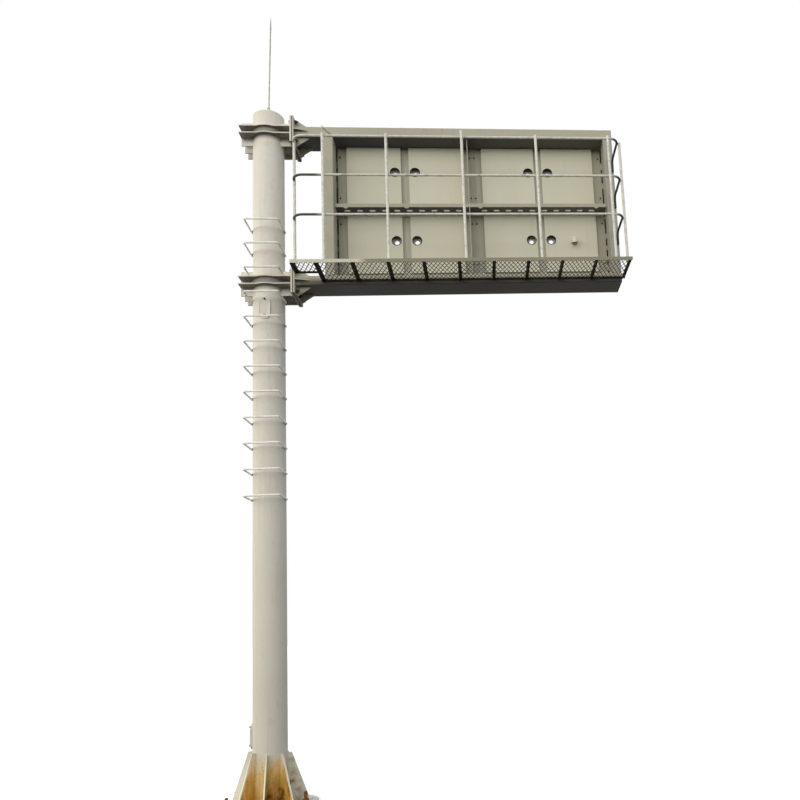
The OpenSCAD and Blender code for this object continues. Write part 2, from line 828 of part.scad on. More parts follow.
base_plate();
base_gussets();
mast_tube();
mast_cap();
lightning_rod();
climbing_rungs();
upper_access_cover();
lower_access_cover();
upper_front_saddle();
upper_rear_saddle();
upper_mast_flange();
upper_arm_flange();
upper_arm_gussets();
upper_arm();
lower_front_saddle();
lower_rear_saddle();
lower_mast_flange();
lower_arm_flange();
lower_arm_gussets();
lower_arm();
arm_end_plates();
near_post();
far_post();
side_cleats();
centre_mullion();
slotted_rails();
for (row = [0, 1], column = [0:module_columns - 1])
    sign_module(column, row);
module_vent();
walkway_bearers();
walkway_ledgers();
walkway_edge();
floor_mesh_near();
floor_mesh_middle();
floor_mesh_far();
top_rail();
middle_rail();
bottom_rail();
rail_posts();
rail_stays();
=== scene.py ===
# Cantilever sign gantry: paint, zinc, rust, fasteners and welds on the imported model.
import json
import math

import bpy
from mathutils import Matrix, Vector


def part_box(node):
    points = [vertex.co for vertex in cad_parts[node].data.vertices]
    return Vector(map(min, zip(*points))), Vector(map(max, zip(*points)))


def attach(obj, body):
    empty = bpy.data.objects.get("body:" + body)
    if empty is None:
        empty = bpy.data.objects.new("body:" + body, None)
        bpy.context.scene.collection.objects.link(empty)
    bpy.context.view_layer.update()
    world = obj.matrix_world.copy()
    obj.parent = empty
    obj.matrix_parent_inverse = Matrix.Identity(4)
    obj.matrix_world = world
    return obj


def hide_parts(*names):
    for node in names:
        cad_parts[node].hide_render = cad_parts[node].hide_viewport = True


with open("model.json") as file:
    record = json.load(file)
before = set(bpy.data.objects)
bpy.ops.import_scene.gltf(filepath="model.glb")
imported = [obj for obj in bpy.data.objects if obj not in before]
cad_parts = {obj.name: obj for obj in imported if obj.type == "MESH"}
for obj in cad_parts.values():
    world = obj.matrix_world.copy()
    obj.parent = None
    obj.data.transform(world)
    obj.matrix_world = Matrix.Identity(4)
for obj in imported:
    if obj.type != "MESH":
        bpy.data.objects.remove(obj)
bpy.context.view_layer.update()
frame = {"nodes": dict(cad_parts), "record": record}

nodes = frame["nodes"]
scene = bpy.context.scene


# Measures shared by finishes and pieces, in metres

MAST_R = 0.178
ARM_LEVELS = (7.708, 5.819)
# the gussets' outline, with the foot's reach in the solids and as the photo shows it, and how far they are
# turned about the mast in the photo
SOLID_FOOT, GUSSET_FOOT, GUSSET_TIP = 0.444, 0.392, 0.2205
GUSSET_TOE, GUSSET_TOP = 0.075, 0.550
GUSSET_TURN = math.radians(4)
EIGHTH = math.radians(45)


# Small helpers

# kinds of node that come up again and again
MAP = "ShaderNodeMapRange"
MIX = "ShaderNodeMix"
MATH = "ShaderNodeMath"
NOISE = "ShaderNodeTexNoise"


def linear(code):
    """Linear colour of an sRGB hex value."""
    parts = [int(code[i:i + 2], 16) / 255 for i in (1, 3, 5)]
    return tuple(c / 12.92 if c <= 0.04045 else ((c + 0.055) / 1.055) ** 2.4 for c in parts) + (1.0,)


def per(mm):
    """Texture scale, in repeats per metre, of a pattern this many millimetres wide."""
    return 1000.0 / mm


def put(tree, kind, inputs=None, **settings):
    """Adds a node with its settings; an input is a link where it is a socket, and a value otherwise."""
    made = tree.nodes.new(kind)
    for name, value in settings.items():
        setattr(made, name, value)
    for key, value in (inputs or {}).items():
        if isinstance(value, bpy.types.NodeSocket):
            tree.links.new(value, made.inputs[key])
        else:
            made.inputs[key].default_value = value
    return made


def new_finish(name):
    """A material with an empty tree, and its Object coordinates."""
    finish = bpy.data.materials.new(name)
    finish.use_nodes = True
    finish.node_tree.nodes.clear()
    return finish, finish.node_tree, put(finish.node_tree, "ShaderNodeTexCoord").outputs["Object"]


def close_finish(finish, colour, gloss, bump, shine, metal=0.0):
    """Ends a finish's tree in one shader, with little shine, as on all of this weathered steel."""
    tree = finish.node_tree
    shade = put(tree, "ShaderNodeBsdfPrincipled", {"Base Color": colour, "Roughness": gloss, "Normal": bump,
                                                   "Specular IOR Level": shine, "Metallic": metal})
    put(tree, "ShaderNodeOutputMaterial", {0: shade.outputs[0]})
    return finish


def rain_runs(tree, spot, stretch, width, detail, start, end, most, roughness=0.5):
    """Share of paint under upright runs of dirt, this many millimetres wide, from start to end of the noise."""
    drawn_out = put(tree, "ShaderNodeMapping", {"Vector": spot, "Scale": (1.0, 1.0, stretch)}).outputs[0]
    runs = put(tree, NOISE, {"Vector": drawn_out, "Scale": per(width), "Detail": detail,
                             "Roughness": roughness}).outputs[0]
    return put(tree, MAP, {"Value": runs, "From Min": start, "From Max": end,
                           "To Max": most}, interpolation_type="SMOOTHSTEP").outputs[0]


def underside(tree, most):
    """Share of painted shade on faces that look down."""
    normal = put(tree, "ShaderNodeSeparateXYZ", {0: put(tree, "ShaderNodeNewGeometry").outputs["Normal"]})
    return put(tree, MAP, {"Value": normal.outputs[2], "From Min": -0.4, "From Max": -0.95,
                           "To Max": most}).outputs[0]


def seen_directly(tree):
    """1 for rays that the camera sees, straight, mirrored or through glass, and 0 for those that only light."""
    path = put(tree, "ShaderNodeLightPath").outputs
    seen = path["Is Camera Ray"]
    for ray in ("Is Glossy Ray", "Is Transmission Ray"):
        seen = put(tree, MATH, {0: seen, 1: path[ray]}, operation="MAXIMUM").outputs[0]
    return seen


# Finishes

def cream_enamel():
    # Alkyd enamel rolled on the mast: satin, slow tone drift, faint rain runs, paler towards the top and duller
    # towards the bottom, with painted shade on faces that look down and round the collars' ribs. At the foot it
    # has failed: orange rust on the gussets' faces, a paler stain on the tube to their left, dark brown scabs to
    # their right, and cream left along the edges.
    finish, tree, spot = new_finish("cream_enamel")
    axes = put(tree, "ShaderNodeSeparateXYZ", {0: spot})
    drift = put(tree, NOISE, {"Vector": spot, "Scale": per(850), "Detail": 3.0}).outputs[0]
    # paler towards the top, duller towards the bottom
    upper_tone, lower_tone = [
        put(tree, MIX, {0: drift, 6: linear(dull), 7: linear(pale)}, data_type="RGBA").outputs[2]
        for dull, pale in (("#d8d1c4", "#e5dfd2"), ("#bdb7a7", "#cbc5b5"))]
    rise = put(tree, MAP, {"Value": axes.outputs[2], "From Min": 1.0, "From Max": 7.0}).outputs[0]
    paint = put(tree, MIX, {0: rise, 6: lower_tone, 7: upper_tone}, data_type="RGBA").outputs[2]
    runs = rain_runs(tree, spot, stretch=0.045, width=46, detail=4.0, start=0.52, end=0.78, most=0.38,
                     roughness=0.6)
    # grain of roller paint, 5 mm in life, drawn at 14 mm so that it shows
    grain = put(tree, NOISE, {"Vector": spot, "Scale": per(14), "Detail": 2.0}).outputs[0]
    fine = put(tree, MAP, {"Value": grain, "From Min": 0.3, "From Max": 0.7, "To Max": 0.16}).outputs[0]
    # painted shade on faces that look down, such as under the collars' ribs
    under = underside(tree, 0.68)
    for share, tone in ((runs, "#b3ab96"), (fine, "#aca693"), (under, "#66645a")):
        paint = put(tree, MIX, {0: share, 6: paint, 7: linear(tone)}, data_type="RGBA").outputs[2]
    # seen from the gussets: distance from the mast's axis, and how far a point lies inside their sloped edge
    foot = put(tree, "ShaderNodeMapping", {"Vector": spot, "Rotation": (0.0, 0.0, -GUSSET_TURN)}).outputs[0]
    foot = put(tree, "ShaderNodeSeparateXYZ", {0: foot})
    reach = put(tree, "ShaderNodeVectorMath", {0: put(tree, "ShaderNodeCombineXYZ", {
        0: foot.outputs[0], 1: foot.outputs[1]}).outputs[0]}, operation="LENGTH").outputs["Value"]
    # painted shade between the collars' ribs and fading out below them
    round_mast = put(tree, MAP, {"Value": reach, "From Min": 0.285, "From Max": 0.275,
                                 "To Max": 0.66}).outputs[0]
    for arm in ARM_LEVELS:
        for low, full, high in ((-0.041, -0.037, 0.037), (-0.110, -0.058, -0.053)):
            rising = put(tree, MAP, {"Value": axes.outputs[2], "From Min": arm + low,
                                     "From Max": arm + full, "To Max": round_mast}).outputs[0]
            shade_share = put(tree, MAP, {"Value": axes.outputs[2], "From Min": arm + high + 0.004,
                                    "From Max": arm + high, "To Max": rising}).outputs[0]
            paint = put(tree, MIX, {0: shade_share, 6: paint, 7: linear("#5d5b53")}, data_type="RGBA").outputs[2]
    slope = put(tree, MAP, {"Value": axes.outputs[2], "From Min": GUSSET_TOE, "From Max": GUSSET_TOP,
                            "To Min": GUSSET_FOOT, "To Max": GUSSET_TIP}).outputs[0]
    inside = put(tree, MATH, {0: slope, 1: reach}, operation="SUBTRACT").outputs[0]
    behind_edge = put(tree, MAP, {"Value": inside, "From Min": 0.003, "From Max": 0.018},
                      interpolation_type="SMOOTHSTEP").outputs[0]
    # the two bays on the walkway side have rusted most, the gusset away from the arms least
    facing = put(tree, MATH, {0: foot.outputs[1], 1: reach}, operation="DIVIDE").outputs[0]
    across = put(tree, MATH, {0: foot.outputs[0], 1: reach}, operation="DIVIDE").outputs[0]
    worst = put(tree, MAP, {"Value": facing, "From Min": -0.690, "From Max": -0.705,
                            "To Min": 0.30, "To Max": 1.0}).outputs[0]
    spared = put(tree, MAP, {"Value": across, "From Min": -0.73, "From Max": -0.78,
                             "To Min": 1.0, "To Max": 0.4}).outputs[0]
    worst = put(tree, MATH, {0: worst, 1: spared}, operation="MULTIPLY").outputs[0]
    low = put(tree, MAP, {"Value": axes.outputs[2], "From Min": 0.64, "From Max": 0.32},
              interpolation_type="SMOOTHSTEP").outputs[0]
    streak_spot = put(tree, "ShaderNodeMapping", {"Vector": spot, "Scale": (1.0, 1.0, 0.16)}).outputs[0]
    streaks = put(tree, NOISE, {"Vector": streak_spot, "Scale": per(38), "Detail": 5.0,
                                "Roughness": 0.62}).outputs[0]
    blots = put(tree, NOISE, {"Vector": spot, "Scale": per(90), "Detail": 4.0}).outputs[0]
    ragged = put(tree, MATH, {0: streaks, 1: blots}, operation="ADD").outputs[0]
    ragged = put(tree, MAP, {"Value": ragged, "From Min": 0.6, "From Max": 1.4,
                             "To Min": -0.32, "To Max": 0.32}).outputs[0]
    rust = put(tree, MATH, {0: low, 1: ragged}, operation="ADD").outputs[0]
    rust = put(tree, MATH, {0: rust, 1: worst}, operation="MULTIPLY").outputs[0]
    rust = put(tree, MAP, {"Value": rust, "From Min": 0.10, "From Max": 0.92}).outputs[0]
    rust = put(tree, MATH, {0: rust, 1: behind_edge}, operation="MULTIPLY").outputs[0]
    # golden above, browner below: on the plates, on the tube left of the middle gusset, and right of it
    below = put(tree, MAP, {"Value": axes.outputs[2], "From Min": 0.40, "From Max": 0.14}).outputs[0]
    on_plate = put(tree, MAP, {"Value": reach, "From Min": 0.181, "From Max": 0.188}).outputs[0]
    right_bay = put(tree, MAP, {"Value": across, "From Min": -0.06, "From Max": 0.02}).outputs[0]
    plate_rust, stain, scale = [
        put(tree, MIX, {0: below, 6: linear(golden), 7: linear(brown)}, data_type="RGBA").outputs[2]
        for golden, brown in (("#d8b668", "#c6963c"), ("#d6c08c", "#cfae67"), ("#c9a75c", "#a06e24"))]
    tube_rust = put(tree, MIX, {0: right_bay, 6: stain, 7: scale}, data_type="RGBA").outputs[2]
    orange = put(tree, MIX, {0: on_plate, 6: tube_rust, 7: plate_rust}, data_type="RGBA").outputs[2]
    lines = put(tree, MAP, {"Value": streaks, "From Min": 0.42, "From Max": 0.72, "To Max": 0.45}).outputs[0]
    specks = put(tree, MAP, {"Value": grain, "From Min": 0.5, "From Max": 0.72, "To Max": 0.4}).outputs[0]
    deep = put(tree, MAP, {"Value": axes.outputs[2], "From Min": 0.36, "From Max": 0.14},
               interpolation_type="SMOOTHSTEP").outputs[0]
    scabs = put(tree, MAP, {"Value": blots, "From Min": 0.46, "From Max": 0.62}).outputs[0]
    deep = put(tree, MATH, {0: deep, 1: scabs}, operation="MULTIPLY").outputs[0]
    more = put(tree, MAP, {"Value": right_bay, "To Min": 0.15, "To Max": 0.80}).outputs[0]
    deep = put(tree, MATH, {0: deep, 1: more}, operation="MULTIPLY").outputs[0]
    for share, tone in ((lines, "#74491a"), (specks, "#633f18"), (deep, "#4a2a10")):
        orange = put(tree, MIX, {0: share, 6: orange, 7: linear(tone)}, data_type="RGBA").outputs[2]
    # the plates are paler than the tube near the foot
    pale_plates = put(tree, MATH, {0: on_plate, 1: low}, operation="MULTIPLY").outputs[0]
    pale_plates = put(tree, MATH, {0: pale_plates, 1: 0.8}, operation="MULTIPLY").outputs[0]
    # the gusset under the arms is greyed with painted shade, with dark red specks towards the tube where its
    # paint has lifted
    under_arms = put(tree, MAP, {"Value": across, "From Min": 0.93, "From Max": 0.97,
                                 "To Max": pale_plates}).outputs[0]
    dull = put(tree, MATH, {0: under_arms, 1: 0.75}, operation="MULTIPLY").outputs[0]
    near_tube = put(tree, MAP, {"Value": reach, "From Min": 0.33, "From Max": 0.24,
                                "To Max": under_arms}).outputs[0]
    lifted = put(tree, MAP, {"Value": blots, "From Min": 0.50, "From Max": 0.62,
                             "To Max": near_tube}).outputs[0]
    for share, tone in ((pale_plates, "#e3dfcd"), (dull, "#b1b2a4"), (lifted, "#6b4034")):
        paint = put(tree, MIX, {0: share, 6: paint, 7: linear(tone)}, data_type="RGBA").outputs[2]
    colour = put(tree, MIX, {0: rust, 6: paint, 7: orange}, data_type="RGBA").outputs[2]
    gloss = put(tree, MAP, {"Value": rust, "To Min": 0.52, "To Max": 0.92}).outputs[0]
    relief = put(tree, MATH, {0: rust, 1: blots, 2: grain}, operation="MULTIPLY_ADD").outputs[0]
    bump = put(tree, "ShaderNodeBump", {"Strength": 0.25, "Distance": 0.003, "Height": relief}).outputs[0]
    return close_finish(finish, colour, gloss, bump, shine=0.15)


def khaki_paint(name, tones, clean_end, shade_share):
    # Matt khaki-grey primer coat on rolled steel: dull, chalky, with pale dust and short rain runs, painted
    # shade on the undersides, a pale stretch at the mast's end as far as the clean end's share says, and painted
    # shade on the lower arm under the walkway as far as its share says.
    finish, tree, spot = new_finish(name)
    axes = put(tree, "ShaderNodeSeparateXYZ", {0: spot})
    drift = put(tree, NOISE, {"Vector": spot, "Scale": per(620), "Detail": 4.0}).outputs[0]
    paint = put(tree, MIX, {0: drift, 6: linear(tones[0]), 7: linear(tones[1])}, data_type="RGBA").outputs[2]
    clean = put(tree, MAP, {"Value": axes.outputs[0], "From Min": 1.22, "From Max": 1.12,
                            "To Max": clean_end}).outputs[0]
    runs = rain_runs(tree, spot, stretch=0.09, width=30, detail=4.0, start=0.55, end=0.80, most=0.35)
    # grit in the paint, 2 mm in life, drawn at 9 mm so that it shows
    grit = put(tree, NOISE, {"Vector": spot, "Scale": per(9), "Detail": 2.0}).outputs[0]
    fine = put(tree, MAP, {"Value": grit, "From Min": 0.35, "From Max": 0.7, "To Max": 0.14}).outputs[0]
    # more painted shade high up, less of it far along the arms
    painted_shade = underside(tree, 1.0)
    for axis, start, end, less, most in ((2, 6.0, 6.6, 0.45, 0.86), (0, 1.2, 3.4, 1.0, 0.78)):
        weight = put(tree, MAP, {"Value": axes.outputs[axis], "From Min": start, "From Max": end,
                                 "To Min": less, "To Max": most}).outputs[0]
        painted_shade = put(tree, MATH, {0: painted_shade, 1: weight}, operation="MULTIPLY").outputs[0]
    # painted shade on the lower arm's face under the walkway, past the flange
    walkway_shade = put(tree, MAP, {"Value": axes.outputs[2], "From Min": 5.86, "From Max": 5.80,
                            "To Max": shade_share}).outputs[0]
    beyond = put(tree, MAP, {"Value": axes.outputs[0], "From Min": 0.33, "From Max": 0.40}).outputs[0]
    walkway_shade = put(tree, MATH, {0: walkway_shade, 1: beyond}, operation="MULTIPLY").outputs[0]
    for share, tone in ((clean, "#cfc9b4"), (runs, tones[2]), (fine, tones[3]), (painted_shade, "#47484e"),
                        (walkway_shade, "#56514a")):
        paint = put(tree, MIX, {0: share, 6: paint, 7: linear(tone)}, data_type="RGBA").outputs[2]
    gloss = put(tree, MAP, {"Value": drift, "To Min": 0.6, "To Max": 0.78}).outputs[0]
    bump = put(tree, "ShaderNodeBump", {"Strength": 0.2, "Distance": 0.0015, "Height": grit}).outputs[0]
    return close_finish(finish, paint, gloss, bump, shine=0.12)


def tray_paint():
    # Stoved matt paint on folded sheet: even, each tray a shade apart, slightly uneven flats.
    finish, tree, spot = new_finish("tray_paint")
    tray = put(tree, "ShaderNodeVectorMath", {0: spot, 1: (0.8, 20.0, 0.855)}, operation="SNAP").outputs[0]
    shift = put(tree, "ShaderNodeTexWhiteNoise", {"Vector": tray}, noise_dimensions="3D").outputs[0]
    # tones paler than the frame's khaki: painted light that the trays' recess between the arms takes away
    paint = put(tree, MIX, {0: shift, 6: linear("#c8c4ae"), 7: linear("#cdc9b4")}, data_type="RGBA").outputs[2]
    drift = put(tree, NOISE, {"Vector": spot, "Scale": per(430), "Detail": 3.0}).outputs[0]
    dusty = put(tree, MAP, {"Value": drift, "From Min": 0.35, "From Max": 0.75, "To Max": 0.4}).outputs[0]
    # painted shade in the joints, behind the pans' face
    depth = put(tree, "ShaderNodeSeparateXYZ", {0: spot}).outputs[1]
    recess_shade = put(tree, MAP, {"Value": depth, "From Min": 0.064, "From Max": 0.085, "To Max": 0.75}).outputs[0]
    runs = rain_runs(tree, spot, stretch=0.05, width=24, detail=3.0, start=0.58, end=0.8, most=0.22)
    for share, tone in ((dusty, "#c3bfaa"), (recess_shade, "#aca796"), (runs, "#aea894")):
        paint = put(tree, MIX, {0: share, 6: paint, 7: linear(tone)}, data_type="RGBA").outputs[2]
    # orange peel, 3 mm in life, drawn at 10 mm so that it shows
    peel = put(tree, NOISE, {"Vector": spot, "Scale": per(10), "Detail": 1.0}).outputs[0]
    waves = put(tree, NOISE, {"Vector": spot, "Scale": per(260), "Detail": 1.0}).outputs[0]
    relief = put(tree, MATH, {0: waves, 1: 9.0, 2: peel}, operation="MULTIPLY_ADD").outputs[0]
    bump = put(tree, "ShaderNodeBump", {"Strength": 0.18, "Distance": 0.001, "Height": relief}).outputs[0]
    gloss = put(tree, MAP, {"Value": drift, "To Min": 0.52, "To Max": 0.7}).outputs[0]
    return close_finish(finish, paint, gloss, bump, shine=0.12)


def zinc_coat(name, pale, dull, dirt, ends=()):
    # Hot-dip zinc gone matt: large soft spangle, pale bloom and brownish dirt; hardly any shine left.
    # Each end is a stretch along X, from clean to dark, where painted shade turns it to the colour given.
    finish, tree, spot = new_finish(name)
    # spangle of 10 mm, drawn at 22 mm so that it shows
    flakes = put(tree, "ShaderNodeTexVoronoi", {"Vector": spot, "Scale": per(22)}).outputs["Color"]
    flake = put(tree, "ShaderNodeSeparateColor", {0: flakes}).outputs[0]
    coat = put(tree, MIX, {0: flake, 6: linear(dull), 7: linear(pale)}, data_type="RGBA").outputs[2]
    blots = put(tree, NOISE, {"Vector": spot, "Scale": per(75), "Detail": 5.0, "Roughness": 0.6}).outputs[0]
    stained = put(tree, MAP, {"Value": blots, "From Min": 0.5, "From Max": 0.75,
                              "To Max": 0.7}, interpolation_type="SMOOTHSTEP").outputs[0]
    coat = put(tree, MIX, {0: stained, 6: coat, 7: linear(dirt)}, data_type="RGBA").outputs[2]
    # painted shade towards the ends
    for clean_x, dark_x, painted_shade in ends:
        along = put(tree, "ShaderNodeSeparateXYZ", {0: spot}).outputs[0]
        dark = put(tree, MAP, {"Value": along, "From Min": clean_x, "From Max": dark_x,
                               "To Max": 0.95}).outputs[0]
        coat = put(tree, MIX, {0: dark, 6: coat, 7: linear(painted_shade)}, data_type="RGBA").outputs[2]
    gloss = put(tree, MAP, {"Value": blots, "To Min": 0.45, "To Max": 0.75}).outputs[0]
    bump = put(tree, "ShaderNodeBump", {"Strength": 0.2, "Distance": 0.001, "Height": blots}).outputs[0]
    return close_finish(finish, coat, gloss, bump, shine=0.15, metal=0.15)


def weathered(name, light, dark, patch):
    # Dry and matt, in patches of two tones, as many millimetres wide as given: bare steel left to the weather,
    # flaky and brown, and with closer tones pale rings of painted light, mastic, and dark and grey bars of
    # painted shade.
    finish, tree, spot = new_finish(name)
    blots = put(tree, NOISE, {"Vector": spot, "Scale": per(patch), "Detail": 6.0, "Roughness": 0.65}).outputs[0]
    mixed = put(tree, MAP, {"Value": blots, "From Min": 0.35, "From Max": 0.65}).outputs[0]
    colour = put(tree, MIX, {0: mixed, 6: linear(light), 7: linear(dark)}, data_type="RGBA").outputs[2]
    bump = put(tree, "ShaderNodeBump", {"Strength": 0.5, "Distance": 0.0015, "Height": blots}).outputs[0]
    gloss = put(tree, MAP, {"Value": mixed, "To Min": 0.75, "To Max": 0.95}).outputs[0]
    return close_finish(finish, colour, gloss, bump, shine=0.12)


CREAM = cream_enamel()
KHAKI = khaki_paint("khaki_paint", ("#a49f8b", "#b1ad9a", "#8c8673", "#c5c1af"), clean_end=0.0, shade_share=0.85)
FLANGE_KHAKI = khaki_paint("pale_khaki_paint", ("#b3ad97", "#bfbaa5", "#98927d", "#cfcab7"),
                           clean_end=0.0, shade_share=0.0)
FAR_KHAKI = khaki_paint("shaded_khaki_paint", ("#969385", "#a1a093", "#807c6e", "#b4b3a8"),
                        clean_end=0.0, shade_share=0.85)
EDGE_KHAKI = khaki_paint("worn_khaki_paint", ("#7f7a66", "#8e8974", "#655f50", "#b3ab94"),
                         clean_end=0.9, shade_share=0.0)
TRAY = tray_paint()
ZINC = zinc_coat("dull_zinc", "#c3c1b5", "#a5a397", "#857d6c")
# the rails' ends darkened with painted shade
TOP_RAIL_ZINC = zinc_coat("top_rail_zinc", "#d6d3c8", "#c2bfb3", "#9c9586", [(4.06, 4.12, "#20222b")])
LOW_RAIL_ZINC = zinc_coat("low_rail_zinc", "#d6d3c8", "#c2bfb3", "#9c9586",
                          [(4.06, 4.12, "#20222b"), (0.76, 0.66, "#4b483b")])
POST_ZINC = zinc_coat("post_zinc", "#dedbcf", "#cbc8bc", "#a69f90")
RUNG_ZINC = zinc_coat("rung_zinc", "#f2efe6", "#e8e4d9", "#cbc5b6")
MESH_ZINC = zinc_coat("mesh_zinc", "#7a766b", "#646056", "#544d41")
# pale tones of painted light, for the rings behind the cable holes
BACK_SHEET_LIGHT = weathered("painted_back_sheet_light", "#d9d7cf", "#c4c1b6", 40)
DARK_STEEL = weathered("walkway_dark_steel", "#4a443b", "#2e2924", 60)
ANCHOR_RUST = weathered("anchor_rust", "#8d5a28", "#4b2c14", 24)
BOLT_STEEL = weathered("bolt_steel", "#5d5347", "#2c2723", 18)
# mastic for the grommets and dark painted shade for the joint bars, then grey painted shade for the near joint
MASTIC_AND_JOINT_SHADE = weathered("mastic_and_joint_shade", "#2b2a27", "#1d1c1a", 30)
GREY_JOINT_SHADE = weathered("grey_joint_shade", "#6a685f", "#55534b", 50)

FINISH_OF_SLOT = {"mast_paint": CREAM, "frame_paint": KHAKI, "module_paint": TRAY,
                  "walkway_steel": DARK_STEEL, "galvanized": ZINC}
FINISH_OF_NODE = {"walkway_edge": EDGE_KHAKI, "far_post": FAR_KHAKI, "top_rail": TOP_RAIL_ZINC,
                  "middle_rail": LOW_RAIL_ZINC, "bottom_rail": LOW_RAIL_ZINC, "rail_posts": POST_ZINC,
                  "climbing_rungs": RUNG_ZINC}
for arm in ("upper_arm", "lower_arm"):
    FINISH_OF_NODE.update({arm + "_flange": FLANGE_KHAKI, arm + "_gussets": FLANGE_KHAKI})
for part in frame["record"]["subparts"]:
    finish = FINISH_OF_NODE.get(part["node"], FINISH_OF_SLOT[part["material_slot"]])
    mesh = nodes[part["node"]].data
    mesh.materials.clear()
    mesh.materials.append(finish)


# Repeated pieces

HEX_SIZES = ("Washer diameter", "Washer thickness", "Nut width", "Nut height", "Second nut height",
             "Thread diameter", "Thread length", "Thread pitch")
# a nut's chamfer of 30 degrees, cut by a cone that runs past both ends of the nut by this share of its height,
# so that no two faces lie in one plane
CHAMFER, CONE_PAST = 1.732, 0.1


def new_tree(name, measures, seeded=False):
    """A tree with named inputs: a geometry, its measures, a seed where chance plays a part, and a finish."""
    tree = bpy.data.node_groups.new(name, "GeometryNodeTree")
    kinds = {"Geometry": "NodeSocketGeometry", **{measure: "NodeSocketFloat" for measure in measures}}
    if seeded:
        kinds["Seed"] = "NodeSocketInt"
    kinds["Finish"] = "NodeSocketMaterial"
    keys = {socket: tree.interface.new_socket(socket, in_out="INPUT", socket_type=kind).identifier
            for socket, kind in kinds.items()}
    tree.interface.new_socket("Geometry", in_out="OUTPUT", socket_type="NodeSocketGeometry")
    return tree, keys, put(tree, "NodeGroupInput").outputs


def close_tree(tree, placed, finish, smooth=False):
    """Makes a tree's copies real, gives them their finish and sends them out."""
    real = put(tree, "GeometryNodeRealizeInstances", {0: placed}).outputs[0]
    if smooth:
        real = put(tree, "GeometryNodeSetShadeSmooth", {"Geometry": real}).outputs[0]
    painted = put(tree, "GeometryNodeSetMaterial", {"Geometry": real, "Material": finish}).outputs[0]
    put(tree, "NodeGroupOutput", {0: painted})


def raised(tree, shape, level):
    """A shape moved up its axis."""
    lift = put(tree, "ShaderNodeCombineXYZ", {2: level}).outputs[0]
    return put(tree, "GeometryNodeTransform", {"Geometry": shape, "Translation": lift}).outputs[0]


